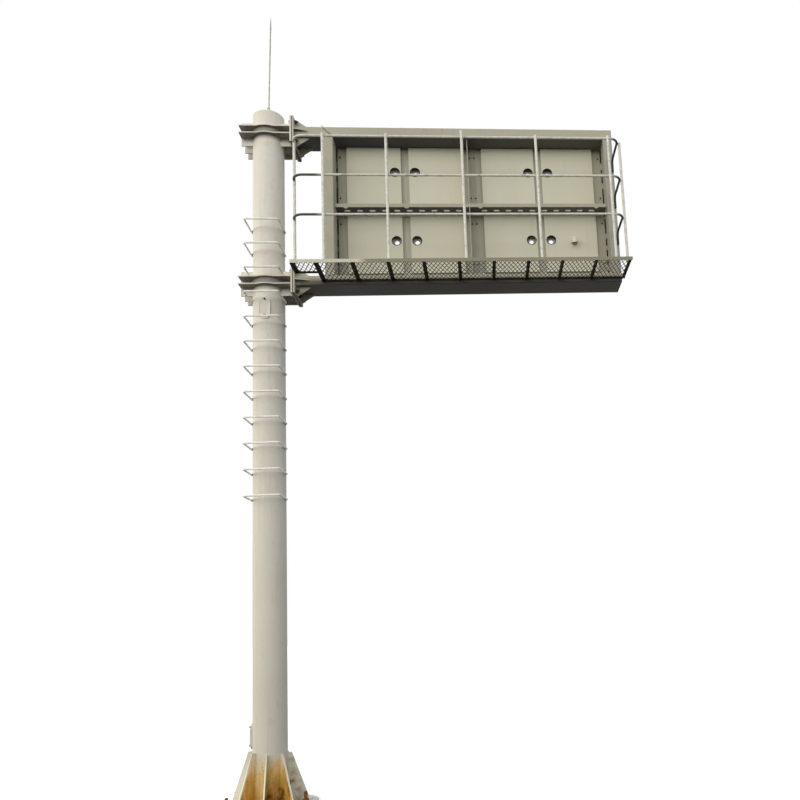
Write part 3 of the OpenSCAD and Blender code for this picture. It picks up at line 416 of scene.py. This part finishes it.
def hex_fastener_tree():
    """Washer, one or two chamfered hexagon nuts and a threaded end, on every point along its axis attribute."""
    tree, keys, given = new_tree("hex_fastener", HEX_SIZES, seeded=True)

    half = put(tree, MATH, {0: given["Washer diameter"], 1: 0.5}, operation="MULTIPLY").outputs[0]
    rise = put(tree, MATH, {0: given["Washer thickness"], 1: 0.5}, operation="MULTIPLY").outputs[0]
    washer = put(tree, "GeometryNodeMeshCylinder", {"Vertices": 28, "Radius": half,
                                                    "Depth": given["Washer thickness"]}).outputs[0]
    # half the nut's width over its corners, and the circle where its chamfer starts
    corner = put(tree, MATH, {0: given["Nut width"], 1: 0.57735}, operation="MULTIPLY").outputs[0]
    flat = put(tree, MATH, {0: given["Nut width"], 1: 0.475}, operation="MULTIPLY").outputs[0]
    stack = [raised(tree, washer, rise)]
    level = given["Washer thickness"]
    for height in (given["Nut height"], given["Second nut height"]):
        middle = put(tree, MATH, {0: height, 1: 0.5, 2: level}, operation="MULTIPLY_ADD").outputs[0]
        prism = put(tree, "GeometryNodeMeshCylinder", {"Vertices": 6, "Radius": corner,
                                                       "Depth": height}).outputs[0]
        tip = put(tree, MATH, {0: height, 1: -CONE_PAST * CHAMFER, 2: flat}, operation="MULTIPLY_ADD").outputs[0]
        skirt = put(tree, MATH, {0: height, 1: (1 + CONE_PAST) * CHAMFER, 2: flat},
                    operation="MULTIPLY_ADD").outputs[0]
        tall = put(tree, MATH, {0: height, 1: 1 + 2 * CONE_PAST}, operation="MULTIPLY").outputs[0]
        foot = put(tree, MATH, {0: height, 1: -CONE_PAST, 2: level}, operation="MULTIPLY_ADD").outputs[0]
        cone = put(tree, "GeometryNodeMeshCone", {"Vertices": 24, "Radius Top": tip, "Radius Bottom": skirt,
                                                  "Depth": tall}).outputs[0]
        nut = put(tree, "GeometryNodeMeshBoolean", operation="INTERSECT", solver="EXACT")
        for shape, at in ((prism, middle), (cone, foot)):
            tree.links.new(raised(tree, shape, at), nut.inputs["Mesh 2"])
        stack.append(put(tree, "GeometryNodeMergeByDistance", {"Geometry": nut.outputs[0],
                                                               "Distance": 0.00002}).outputs[0])
        level = put(tree, MATH, {0: level, 1: height}, operation="ADD").outputs[0]

    crest = put(tree, MATH, {0: given["Thread diameter"], 1: 0.5}, operation="MULTIPLY").outputs[0]
    root = put(tree, MATH, {0: given["Thread pitch"], 1: -0.55, 2: crest}, operation="MULTIPLY_ADD").outputs[0]
    turns = put(tree, MATH, {0: given["Thread length"], 1: given["Thread pitch"]},
                operation="DIVIDE").outputs[0]
    step = put(tree, "ShaderNodeCombineXYZ", {2: given["Thread pitch"]}).outputs[0]
    line = put(tree, "GeometryNodeMeshLine", {"Count": turns, "Offset": step}, mode="OFFSET").outputs[0]
    turn = put(tree, "GeometryNodeMeshCone", {"Vertices": 14, "Radius Top": root, "Radius Bottom": crest,
                                              "Depth": given["Thread pitch"]}).outputs[0]
    thread = put(tree, "GeometryNodeInstanceOnPoints", {"Points": line, "Instance": turn}).outputs[0]
    stack.append(put(tree, "GeometryNodeRealizeInstances", {0: thread}).outputs[0])

    whole = put(tree, "GeometryNodeJoinGeometry")
    for piece in stack:
        tree.links.new(piece, whole.inputs[0])
    axis = put(tree, "GeometryNodeInputNamedAttribute", {"Name": "axis"}, data_type="FLOAT_VECTOR").outputs[0]
    along = put(tree, "FunctionNodeAlignRotationToVector", {"Vector": axis}, axis="Z").outputs[0]
    chance = put(tree, "FunctionNodeRandomValue", {2: 0.0, 3: math.radians(60), "Seed": given["Seed"]},
                 data_type="FLOAT").outputs[1]
    twist = put(tree, "FunctionNodeAxisAngleToRotation", {"Axis": (0.0, 0.0, 1.0), "Angle": chance}).outputs[0]
    turned = put(tree, "FunctionNodeRotateRotation", {"Rotation": along, "Rotate By": twist},
                 rotation_space="LOCAL").outputs[0]
    placed = put(tree, "GeometryNodeInstanceOnPoints", {"Points": given["Geometry"],
                                                        "Instance": whole.outputs[0],
                                                        "Rotation": turned}).outputs[0]
    close_tree(tree, placed, given["Finish"])
    return tree, keys


def weld_bead_tree():
    """Overlapping ripples of weld metal along every edge line."""
    tree, keys, given = new_tree("weld_bead", ("Bead width", "Ripple pitch"), seeded=True)
    curve = put(tree, "GeometryNodeMeshToCurve", {0: given["Geometry"]}).outputs[0]
    steps = put(tree, "GeometryNodeResampleCurve", {"Curve": curve, "Length": given["Ripple pitch"]},
                mode="LENGTH").outputs[0]
    tangent = put(tree, "GeometryNodeInputTangent").outputs[0]
    along = put(tree, "FunctionNodeAlignRotationToVector", {"Vector": tangent}, axis="X").outputs[0]
    ball = put(tree, "GeometryNodeMeshIcoSphere", {"Radius": 0.5, "Subdivisions": 1}).outputs[0]
    long = put(tree, MATH, {0: given["Ripple pitch"], 1: 2.0}, operation="MULTIPLY").outputs[0]
    size = put(tree, "ShaderNodeCombineXYZ", {0: long, 1: given["Bead width"],
                                              2: given["Bead width"]}).outputs[0]
    chance = put(tree, "FunctionNodeRandomValue", {2: 0.82, 3: 1.12, "Seed": given["Seed"]},
                 data_type="FLOAT").outputs[1]
    size = put(tree, "ShaderNodeVectorMath", {0: size, "Scale": chance}, operation="SCALE").outputs[0]
    placed = put(tree, "GeometryNodeInstanceOnPoints", {"Points": steps, "Instance": ball, "Rotation": along,
                                                        "Scale": size}).outputs[0]
    close_tree(tree, placed, given["Finish"], smooth=True)
    return tree, keys


def expanded_metal_tree():
    """A flat strand on every point, slanted to the side that its slant attribute gives, and twisted."""
    tree, keys, given = new_tree("expanded_metal", ("Strand length", "Strand width", "Strand thickness",
                                                    "Angle", "Twist"))
    size = put(tree, "ShaderNodeCombineXYZ", {0: given["Strand length"], 1: given["Strand width"],
                                              2: given["Strand thickness"]}).outputs[0]
    strand = put(tree, "GeometryNodeMeshCube", {"Size": size}).outputs[0]
    slant = put(tree, "GeometryNodeInputNamedAttribute", {"Name": "slant"}, data_type="FLOAT").outputs[0]
    turn = put(tree, MATH, {0: given["Angle"], 1: slant}, operation="MULTIPLY").outputs[0]
    turned = put(tree, "ShaderNodeCombineXYZ", {0: given["Twist"], 2: turn}).outputs[0]
    placed = put(tree, "GeometryNodeInstanceOnPoints", {"Points": given["Geometry"], "Instance": strand,
                                                        "Rotation": turned}).outputs[0]
    close_tree(tree, placed, given["Finish"])
    return tree, keys


def round_plate_tree():
    """A flat ring on every point, square to its axis attribute."""
    tree, keys, given = new_tree("round_plate", ("Outer diameter", "Hole diameter", "Thickness"))
    both = put(tree, MATH, {0: given["Outer diameter"], 1: given["Hole diameter"]}, operation="ADD").outputs[0]
    middle = put(tree, MATH, {0: both, 1: 0.25}, operation="MULTIPLY").outputs[0]
    spare = put(tree, MATH, {0: given["Outer diameter"], 1: given["Hole diameter"]},
                operation="SUBTRACT").outputs[0]
    wide = put(tree, MATH, {0: spare, 1: 0.5}, operation="MULTIPLY").outputs[0]
    circle = put(tree, "GeometryNodeCurvePrimitiveCircle", {"Resolution": 40, "Radius": middle}).outputs[0]
    section = put(tree, "GeometryNodeCurvePrimitiveQuadrilateral", {"Width": wide,
                                                                    "Height": given["Thickness"]}).outputs[0]
    ring = put(tree, "GeometryNodeCurveToMesh", {"Curve": circle, "Profile Curve": section}).outputs[0]
    ring = put(tree, "GeometryNodeSetShadeSmooth", {"Geometry": ring, "Shade Smooth": False}).outputs[0]
    axis = put(tree, "GeometryNodeInputNamedAttribute", {"Name": "axis"}, data_type="FLOAT_VECTOR").outputs[0]
    along = put(tree, "FunctionNodeAlignRotationToVector", {"Vector": axis}, axis="Z").outputs[0]
    placed = put(tree, "GeometryNodeInstanceOnPoints", {"Points": given["Geometry"], "Instance": ring,
                                                        "Rotation": along}).outputs[0]
    close_tree(tree, placed, given["Finish"])
    return tree, keys


def add_piece(name, mesh):
    """Puts a mesh into the scene as a piece that rides on the part."""
    piece = bpy.data.objects.new(name, mesh)
    scene.collection.objects.link(piece)
    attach(piece, "root")
    return piece


def grow(name, seed_mesh, recipe, sizes):
    """Runs a tree on a seed mesh and keeps the result as a plain mesh."""
    tree, keys = recipe
    start = bpy.data.objects.new(name + "_start", seed_mesh)
    scene.collection.objects.link(start)
    modifier = start.modifiers.new("grow", "NODES")
    modifier.node_group = tree
    for key, value in sizes.items():
        modifier[keys[key]] = value
    made = bpy.data.meshes.new_from_object(start.evaluated_get(bpy.context.evaluated_depsgraph_get()))
    bpy.data.objects.remove(start)
    made.name = name
    return add_piece(name, made)


def fasteners(name, spots, recipe, sizes):
    """Spots are pairs of a seat point and the direction in which the fastener stands out."""
    mesh = bpy.data.meshes.new(name + "_spots")
    mesh.from_pydata([place for place, axis in spots], [], [])
    axes = mesh.attributes.new("axis", "FLOAT_VECTOR", "POINT")
    for entry, (place, axis) in zip(axes.data, spots):
        entry.vector = axis
    grow(name, mesh, recipe, sizes)


def weld_beads(name, lines, width, pitch, seed, finish):
    """Lines are lists of points along a joint."""
    points, edges = [], []
    for line in lines:
        first = len(points)
        points.extend(line)
        edges.extend((first + i, first + i + 1) for i in range(len(line) - 1))
    mesh = bpy.data.meshes.new(name + "_lines")
    mesh.from_pydata(points, edges, [])
    sizes = {"Bead width": width, "Ripple pitch": pitch, "Seed": seed, "Finish": finish}
    grow(name, mesh, WELD_BEAD, sizes)


def floor_sheet(name, stretches, level):
    """Expanded sheet over rectangles given as x0, x1, y0, y1, in place of the coarser solid of that name."""
    places, slants = [], []
    for x0, x1, y0, y1 in stretches:
        rows = math.floor((y1 - y0) / (DIAMOND_Y / 2))
        columns = math.floor((x1 - x0) / (DIAMOND_X / 2))
        for j in range(rows):
            for i in range(columns):
                places.append((x0 + (i + 0.5) * (x1 - x0) / columns, y0 + (j + 0.5) * (y1 - y0) / rows, level))
                slants.append(1.0 if (i + j) % 2 else -1.0)
    mesh = bpy.data.meshes.new(name + "_places")
    mesh.from_pydata(places, [], [])
    for entry, slant in zip(mesh.attributes.new("slant", "FLOAT", "POINT").data, slants):
        entry.value = slant
    sizes = {"Strand length": math.hypot(DIAMOND_X, DIAMOND_Y) / 2, "Strand width": STRAND_WIDTH,
             "Strand thickness": STRAND_THICKNESS, "Angle": math.atan2(DIAMOND_Y, DIAMOND_X),
             "Twist": STRAND_TWIST, "Finish": MESH_ZINC}
    sheet = grow(name + "_sheet", mesh, EXPANDED_METAL, sizes)
    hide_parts(name)


def moved_copy(name, source, moves):
    """A copy of a solid's mesh with some points moved, in place of that solid."""
    mesh = nodes[source].data.copy()
    mesh.name = name
    for vertex in mesh.vertices:
        vertex.co = nodes[source].matrix_world @ vertex.co
        vertex.co += moves(vertex.co)
    piece = add_piece(name, mesh)
    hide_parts(source)


def solid(name, points, faces, finish):
    """A piece given by its corners and its faces."""
    mesh = bpy.data.meshes.new(name)
    mesh.from_pydata(points, [], faces)
    mesh.materials.append(finish)
    add_piece(name, mesh)


def bars(name, boxes, finish):
    """Plain square-edged bars, each given by its low and its high corner."""
    points, faces = [], []
    for low, high in boxes:
        first = len(points)
        points.extend((x, y, z) for x in (low[0], high[0]) for y in (low[1], high[1])
                      for z in (low[2], high[2]))
        faces.extend(tuple(first + k for k in side) for side in (
            (0, 1, 3, 2), (4, 6, 7, 5), (0, 4, 5, 1), (2, 3, 7, 6), (0, 2, 6, 4), (1, 5, 7, 3)))
    solid(name, points, faces, finish)


HEX_FASTENER = hex_fastener_tree()
WELD_BEAD = weld_bead_tree()
EXPANDED_METAL = expanded_metal_tree()
ROUND_PLATE = round_plate_tree()


# Foot gussets and access covers, closer to the photo than the solids

COVER_RISE, COVER_LIFT = 0.020, 0.118
# a cover's rise falls off from this share of its half height on, by the second share at its tip
ROUND_FROM, ROUND_FALL = 0.55, 0.8
# a gusset's points farther out than the first are its foot, and those above the second its top
FOOT_FROM, TOP_FROM = 0.30, 0.50
# how much higher than the solids' each gusset away from the arms ends, by its direction in eighths of a turn
GUSSET_TOPS = {4: 0.040, -4: 0.040, -3: 0.036, -2: 0.010}


def steeper(point):
    """Draws a gusset's foot in along its own direction, raises its top and turns it a little about the mast."""
    eighth = round(math.atan2(point.y, point.x) / EIGHTH)
    turn = eighth * EIGHTH
    pull = SOLID_FOOT - GUSSET_FOOT if point.xy.length > FOOT_FROM else 0.0
    lift = GUSSET_TOPS.get(eighth, 0.0) if point.z > TOP_FROM else 0.0
    drawn = point - Vector((pull * math.cos(turn), pull * math.sin(turn), -lift))
    return Matrix.Rotation(GUSSET_TURN, 3, "Z") @ drawn - point


def thicker(cover, outward, lift):
    """Raises a cover's outer face off the mast, less towards its round ends, and sets the cover higher."""
    low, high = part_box(cover)
    outer_from = MAST_R + 0.004

    def move(point):
        end = abs(2 * point.z - low.z - high.z) / (high.z - low.z)
        rise = COVER_RISE * (1.0 - ROUND_FALL * max(0.0, end - ROUND_FROM) / (1.0 - ROUND_FROM))
        return Vector(outward) * (rise if point.xy.length > outer_from else 0.0) + Vector((0.0, 0.0, lift))
    return move


moved_copy("steep_base_gussets", "base_gussets", steeper)
moved_copy("raised_lower_cover", "lower_access_cover", thicker("lower_access_cover", (-1, 0, 0), 0.0))
moved_copy("raised_upper_cover", "upper_access_cover", thicker("upper_access_cover", (0, -1, 0), COVER_LIFT))

# thin curved plate over the solid's upper opening, which lies lower than the cover does in the photo
PATCH_INNER, PATCH_OUTER, PATCH_HEIGHT = MAST_R + 0.0002, MAST_R + 0.0012, 0.150
PATCH_START, PATCH_STEP, PATCH_STEPS = 250, 2, 20
patch_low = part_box("upper_access_cover")[0].z
patch_high = patch_low + PATCH_HEIGHT
# each ring of four corners runs inner low, outer low, outer high, inner high
section = ((PATCH_INNER, patch_low), (PATCH_OUTER, patch_low),
           (PATCH_OUTER, patch_high), (PATCH_INNER, patch_high))
turns = [math.radians(PATCH_START + PATCH_STEP * k) for k in range(PATCH_STEPS + 1)]
corners = [(r * math.cos(a), r * math.sin(a), z) for a in turns for r, z in section]
sides = [(i + k, i + 4 + k, i + 4 + (k + 1) % 4, i + (k + 1) % 4)
         for i in range(0, 4 * PATCH_STEPS, 4) for k in range(4)]
last = len(corners) - 1
solid("mast_patch", corners, sides + [(0, 1, 2, 3), (last, last - 1, last - 2, last - 3)], CREAM)


# Fasteners

ANCHOR_CIRCLE, ANCHOR_TURN = 0.430, math.radians(22.5)
FLANGE_ROW, FLANGE_EDGE = (-0.156, 0.0, 0.156), 0.042
STUD_X, STUD_RISE, EAR_OUTER, EAR_INNER = 0.240, 0.102, 0.081, 0.069
TRAY_XS, TRAY_ZS, STRIP_DEPTH = (0.816, 2.396, 2.450, 4.017), (7.53, 6.99, 6.65, 6.12), 0.008
# a screw's distance from the cover's end, and how deep it sits in the cover
SCREW_END, SCREW_SEAT = 0.036, 0.0005
CABLE_XS, CABLE_ZS, LIT_RING_Y, GROMMET_Y = (1.476, 1.720, 3.114, 3.358), (7.315, 6.415), 0.122, 0.0585
TAB_XS, TAB_Y, TAB_Z = (0.91, 1.62, 2.50, 3.92), -0.1205, 6.766

plate_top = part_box("base_plate")[1].z
anchors = []
# the bolt behind the gusset that points along the arms doesn't show, so its hole is left empty
for i in range(1, 8):
    turn = i * EIGHTH + ANCHOR_TURN
    anchors.append(((ANCHOR_CIRCLE * math.cos(turn), ANCHOR_CIRCLE * math.sin(turn), plate_top), (0, 0, 1)))

heads, nuts, clamp_nuts = [], [], []
for arm in ("upper", "lower"):
    low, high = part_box(arm + "_mast_flange")
    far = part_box(arm + "_arm_flange")[1].x
    for y in FLANGE_ROW:
        for z in (low.z + FLANGE_EDGE, high.z - FLANGE_EDGE):
            heads.append(((low.x, y, z), (-1, 0, 0)))
            nuts.append(((far, y, z), (1, 0, 0)))
    low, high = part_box(arm + "_front_saddle")
    level = (low.z + high.z) / 2 + STUD_RISE
    for x in (-STUD_X, STUD_X):
        for y, out in ((-EAR_OUTER, -1), (EAR_OUTER, 1), (-EAR_INNER, 1), (EAR_INNER, -1)):
            clamp_nuts.append(((x, y, level), (0, out, 0)))

strip_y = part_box("side_cleats")[1].y - STRIP_DEPTH
tray_bolts = [((x, strip_y, z), (0, -1, 0)) for x in TRAY_XS for z in TRAY_ZS]

low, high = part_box("upper_access_cover")
cover_screws = [((0, low.y - COVER_RISE + SCREW_SEAT, z + COVER_LIFT), (0, -1, 0))
                for z in (low.z + SCREW_END, high.z - SCREW_END)]
low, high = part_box("lower_access_cover")
cover_screws += [((low.x - COVER_RISE + SCREW_SEAT, 0, z), (-1, 0, 0))
                 for z in (low.z + SCREW_END, high.z - SCREW_END)]

# sizes in millimetres, in the order of HEX_SIZES; a second nut of 1 mm stands for none
for name, spots, seed, finish, sizes in (
        ("anchor_nuts", anchors, 3, ANCHOR_RUST, (74, 6, 55, 29, 24, 36, 132, 6)),
        ("flange_bolt_heads", heads, 5, BOLT_STEEL, (44, 4, 36, 15, 1, 12, 6, 3)),
        ("flange_bolt_nuts", nuts, 7, BOLT_STEEL, (44, 4, 36, 21, 1, 24, 46, 4)),
        ("clamp_studs", clamp_nuts, 11, CREAM, (40, 3, 32, 14, 1, 20, 6, 3)),
        ("tray_bolts", tray_bolts, 13, DARK_STEEL, (20, 2, 14, 8, 1, 8, 10, 3)),
        ("cover_screws", cover_screws, 17, BOLT_STEEL, (23, 2, 17, 6, 1, 6, 4, 2))):
    in_metres = {key: mm / 1000 for key, mm in zip(HEX_SIZES, sizes)}
    fasteners(name, spots, HEX_FASTENER, {**in_metres, "Seed": seed, "Finish": finish})

# pale rings on the trays' back sheets behind the cable holes: painted light where light through the holes falls
lit_rings = [(x, LIT_RING_Y, z) for x in CABLE_XS for z in CABLE_ZS]
grommets = [(x, GROMMET_Y, z) for x in CABLE_XS for z in CABLE_ZS]
tabs = [(x, TAB_Y, TAB_Z) for x in TAB_XS]
for name, places, slot, finish, outer, hole, thick in (
        ("lit_back_sheet_rings", lit_rings, "module_paint", BACK_SHEET_LIGHT, 0.140, 0.052, 0.004),
        ("hole_grommets", grommets, "module_paint", MASTIC_AND_JOINT_SHADE, 0.120, 0.107, 0.004),
        ("rail_lip_tabs", tabs, "frame_paint", KHAKI, 0.058, 0.008, 0.005)):
    fasteners(name, [(place, (0, -1, 0)) for place in places], ROUND_PLATE,
              {"Outer diameter": outer, "Hole diameter": hole, "Thickness": thick, "Finish": finish})


# Welds

# the gussets' faces and the ends of the beads along them
HALF_GUSSET, BEAD_TOP, BEAD_LOW, BEAD_START = 0.0082, 0.548, 0.032, 0.182
RUNG_TOP, RUNG_PITCH, RUNG_COUNT = 6.491, 0.291, 12
# beads above and below a rung's leg, off the mast, over this stretch of Y
LEG_HALF, LEG_OFF, LEG_YS = 0.0085, 0.004, (-0.045, -0.03, -0.015, 0.0)
# the third rung's legs end on the lower collar's ears
EAR_RUNG, EAR_X, EAR_Y, EAR_R = 2, 0.1883, -0.0815, 0.0105
POST_XS, RAIL_ZS = (0.750, 1.453, 2.3083, 3.1637, 4.019), (7.344, 6.865, 6.386)
RAIL_Y, RAIL_HALF, RAIL_BEAD = -0.654, 0.009, 0.013

foot_welds = []
seam_r, bay_r, bead_z = MAST_R + 0.0005, MAST_R + 0.001, plate_top + 0.001
for i in range(8):
    turn = Matrix.Rotation(i * EIGHTH + GUSSET_TURN, 3, "Z")
    for side in (-HALF_GUSSET, HALF_GUSSET):
        foot_welds.append([turn @ Vector((seam_r, side, z)) for z in (BEAD_TOP, BEAD_LOW)])
        foot_welds.append([turn @ Vector((x, side, bead_z)) for x in (BEAD_START, GUSSET_FOOT - 0.002)])
    bay = [math.radians(45 * i + a) + GUSSET_TURN for a in range(3, 43, 3)]
    foot_welds.append([Vector((bay_r * math.cos(a), bay_r * math.sin(a), bead_z)) for a in bay])
weld_beads("foot_welds", foot_welds, width=0.011, pitch=0.007, seed=19, finish=CREAM)

rung_welds = []
for i in range(RUNG_COUNT):
    z = RUNG_TOP - i * RUNG_PITCH
    for side in (-1, 1):
        if i == EAR_RUNG:
            rung_welds.append([Vector((side * EAR_X + EAR_R * math.cos(a), EAR_Y, z + EAR_R * math.sin(a)))
                               for a in (math.radians(24 * k) for k in range(16))])
        else:
            for dz in (-LEG_HALF, LEG_HALF):
                rung_welds.append([Vector((side * (math.sqrt(MAST_R ** 2 - y ** 2) + LEG_OFF), y, z + dz))
                                   for y in LEG_YS])
weld_beads("rung_welds", rung_welds, width=0.008, pitch=0.005, seed=23, finish=CREAM)

rail_welds = [[Vector((x + dx, RAIL_Y, z + dz)) for dx in (-RAIL_BEAD, 0.0, RAIL_BEAD)]
              for z in RAIL_ZS for x in POST_XS for dz in (-RAIL_HALF, RAIL_HALF)]
weld_beads("rail_welds", rail_welds, width=0.009, pitch=0.005, seed=29, finish=POST_ZINC)


# Floor sheets

DIAMOND_X, DIAMOND_Y = 0.048, 0.106
STRAND_WIDTH, STRAND_THICKNESS, STRAND_TWIST = 0.0108, 0.003, math.radians(20)
# corner of the cut-out beside the arm's flange
CUTOUT_X, CUTOUT_Y = 0.641, -0.400
for name in ("floor_mesh_near", "floor_mesh_middle", "floor_mesh_far"):
    low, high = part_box(name)
    stretches = [(low.x, high.x, low.y, high.y)]
    if name == "floor_mesh_near":
        stretches = [(low.x, CUTOUT_X, low.y, CUTOUT_Y), (CUTOUT_X, high.x, low.y, high.y)]
    floor_sheet(name, stretches, (low.z + high.z) / 2)


# Joints drawn as bars of painted shade

# dark bars of painted shade beside the outer trays, with breaks where light comes through
TRAY_JOINTS, JOINT_FRONT, JOINT_BACK = ((0.779, 0.7935), (4.0405, 4.055)), 0.0395, 0.0470
TRAY_JOINT_ZS = ((7.44, 7.62), (7.31, 7.35), (7.17, 7.27), (6.87, 7.09), (6.72, 6.81), (6.49, 6.68),
                 (6.33, 6.42), (6.08, 6.27), (5.90, 6.00))
NEAR_SHADE_XS, NEAR_SHADE_FRONT, NEAR_SHADE_ZS = (0.779, 0.800), 0.0412, ((5.93, 6.70), (6.85, 7.63))
# round the flange pairs, lines of painted shade: half the line's width, how far it stands out, and a gap that
# keeps bars apart
LINE_HALF, LINE_OUT, LINE_GAP = 0.004, 0.001, 0.0002
gaps = [((x0, JOINT_FRONT, z0), (x1, JOINT_BACK, z1)) for x0, x1 in TRAY_JOINTS for z0, z1 in TRAY_JOINT_ZS]
for arm in ("upper", "lower"):
    low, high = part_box(arm + "_mast_flange")
    x0, x1 = high.x - LINE_HALF, high.x + LINE_HALF
    for y0, y1, z0, z1 in ((low.y - LINE_OUT, low.y, low.z, high.z), (high.y, high.y + LINE_OUT, low.z, high.z),
                           (low.y + LINE_GAP, high.y - LINE_GAP, low.z - LINE_OUT, low.z),
                           (low.y + LINE_GAP, high.y - LINE_GAP, high.z, high.z + LINE_OUT)):
        gaps.append(((x0, y0, z0), (x1, y1, z1)))
bars("mastic_and_joint_shade", gaps, MASTIC_AND_JOINT_SHADE)
# grey bars of painted shade in the joint beside the near tray
near_shades = [((NEAR_SHADE_XS[0], NEAR_SHADE_FRONT, z0), (NEAR_SHADE_XS[1], JOINT_BACK, z1)) for z0, z1 in NEAR_SHADE_ZS]
bars("near_joint_shade", near_shades, GREY_JOINT_SHADE)


# Camera, floor and light

SKY_LOW, SKY_HIGH = 2.55, 0.94
BRIGHT_SIDE = (-0.63, -0.36, 0.0)
# lights and floor in linear colour, because the sky's tints go past white
WHITE, PALE_FLOOR, DIM_FLOOR = (1.0, 1.0, 1.0, 1.0), (0.8, 0.8, 0.8, 1.0), (0.050, 0.051, 0.055, 1.0)
COOL_SKY, WARM_SKY = (0.88, 0.975, 1.12, 1.0), (1.0, 0.972, 0.915, 1.0)
FLOOR_HALF = 150
CAMERA_SPOT = (2.3418, -9.2491, 1.7692)
YAW, PITCH, ROLL = -7.189, 9.038, 3.670
FOCAL_PX, CENTRE_X, CENTRE_Y, FRAME_PX = 803.53, 580.0, 489.72, 800
camera = bpy.data.cameras.new("camera")
camera.sensor_width = 36.0
camera.lens = FOCAL_PX / FRAME_PX * camera.sensor_width
camera.shift_x = (FRAME_PX / 2 - CENTRE_X) / FRAME_PX
camera.shift_y = (CENTRE_Y - FRAME_PX / 2) / FRAME_PX
camera.clip_end = 500
eye = bpy.data.objects.new("camera", camera)
scene.collection.objects.link(eye)
aim = (Matrix.Rotation(math.radians(YAW), 3, "Z") @ Matrix.Rotation(math.radians(PITCH), 3, "X")
       @ Matrix.Rotation(math.radians(ROLL), 3, "Y"))
right, forward, up = aim.col
eye.matrix_world = Matrix.Translation(CAMERA_SPOT) @ Matrix((right, up, -forward)).transposed().to_4x4()
scene.camera = eye

floor_mesh = bpy.data.meshes.new("floor")
floor_mesh.from_pydata([(x * FLOOR_HALF, y * FLOOR_HALF, 0) for x, y in ((-1, -1), (1, -1), (1, 1), (-1, 1))],
                       [], [(0, 1, 2, 3)])
floor = bpy.data.objects.new("floor", floor_mesh)
scene.collection.objects.link(floor)
ground = bpy.data.materials.new("floor")
ground.use_nodes = True
tree = ground.node_tree
tree.nodes.clear()
seen = seen_directly(tree)
pale = put(tree, "ShaderNodeAddShader", {
    0: put(tree, "ShaderNodeBsdfDiffuse", {"Color": PALE_FLOOR}).outputs[0],
    1: put(tree, "ShaderNodeEmission", {"Color": WHITE, "Strength": 0.35}).outputs[0]}).outputs[0]
dim = put(tree, "ShaderNodeBsdfDiffuse", {"Color": DIM_FLOOR}).outputs[0]
surface = put(tree, "ShaderNodeMixShader", {0: seen, 1: dim, 2: pale}).outputs[0]
put(tree, "ShaderNodeOutputMaterial", {0: surface})
floor_mesh.materials.append(ground)

world = bpy.data.worlds.new("overcast")
scene.world = world
world.use_nodes = True
tree = world.node_tree
tree.nodes.clear()
seen = seen_directly(tree)
way = put(tree, "ShaderNodeTexCoord").outputs["Generated"]
height = put(tree, "ShaderNodeSeparateXYZ", {0: way}).outputs[2]
# bright haze low over the horizon, a duller sky above it, the brightest quarter to the left and in front
haze = put(tree, MAP, {"Value": height, "From Min": 0.0, "From Max": 0.55, "To Min": SKY_LOW,
                       "To Max": SKY_HIGH}).outputs[0]
open_sky = put(tree, MAP, {"Value": height, "From Min": -0.02, "From Max": 0.02}).outputs[0]
haze = put(tree, MATH, {0: haze, 1: open_sky}, operation="MULTIPLY").outputs[0]
lean = put(tree, "ShaderNodeVectorMath", {0: way, 1: BRIGHT_SIDE}, operation="DOT_PRODUCT").outputs["Value"]
quarter = put(tree, MATH, {0: lean, 1: 1.0}, operation="ADD").outputs[0]
level = put(tree, MATH, {0: haze, 1: quarter}, operation="MULTIPLY").outputs[0]
tint = put(tree, MAP, {"Value": lean, "From Min": -0.7, "From Max": 0.7}).outputs[0]
tint = put(tree, MIX, {0: tint, 6: COOL_SKY, 7: WARM_SKY}, data_type="RGBA").outputs[2]
sky = put(tree, "ShaderNodeBackground", {"Color": tint, "Strength": level}).outputs[0]
white = put(tree, "ShaderNodeBackground", {"Color": WHITE, "Strength": 1.0}).outputs[0]
surface = put(tree, "ShaderNodeMixShader", {0: seen, 1: sky, 2: white}).outputs[0]
put(tree, "ShaderNodeOutputWorld", {0: surface})

scene.view_settings.view_transform = "Standard"
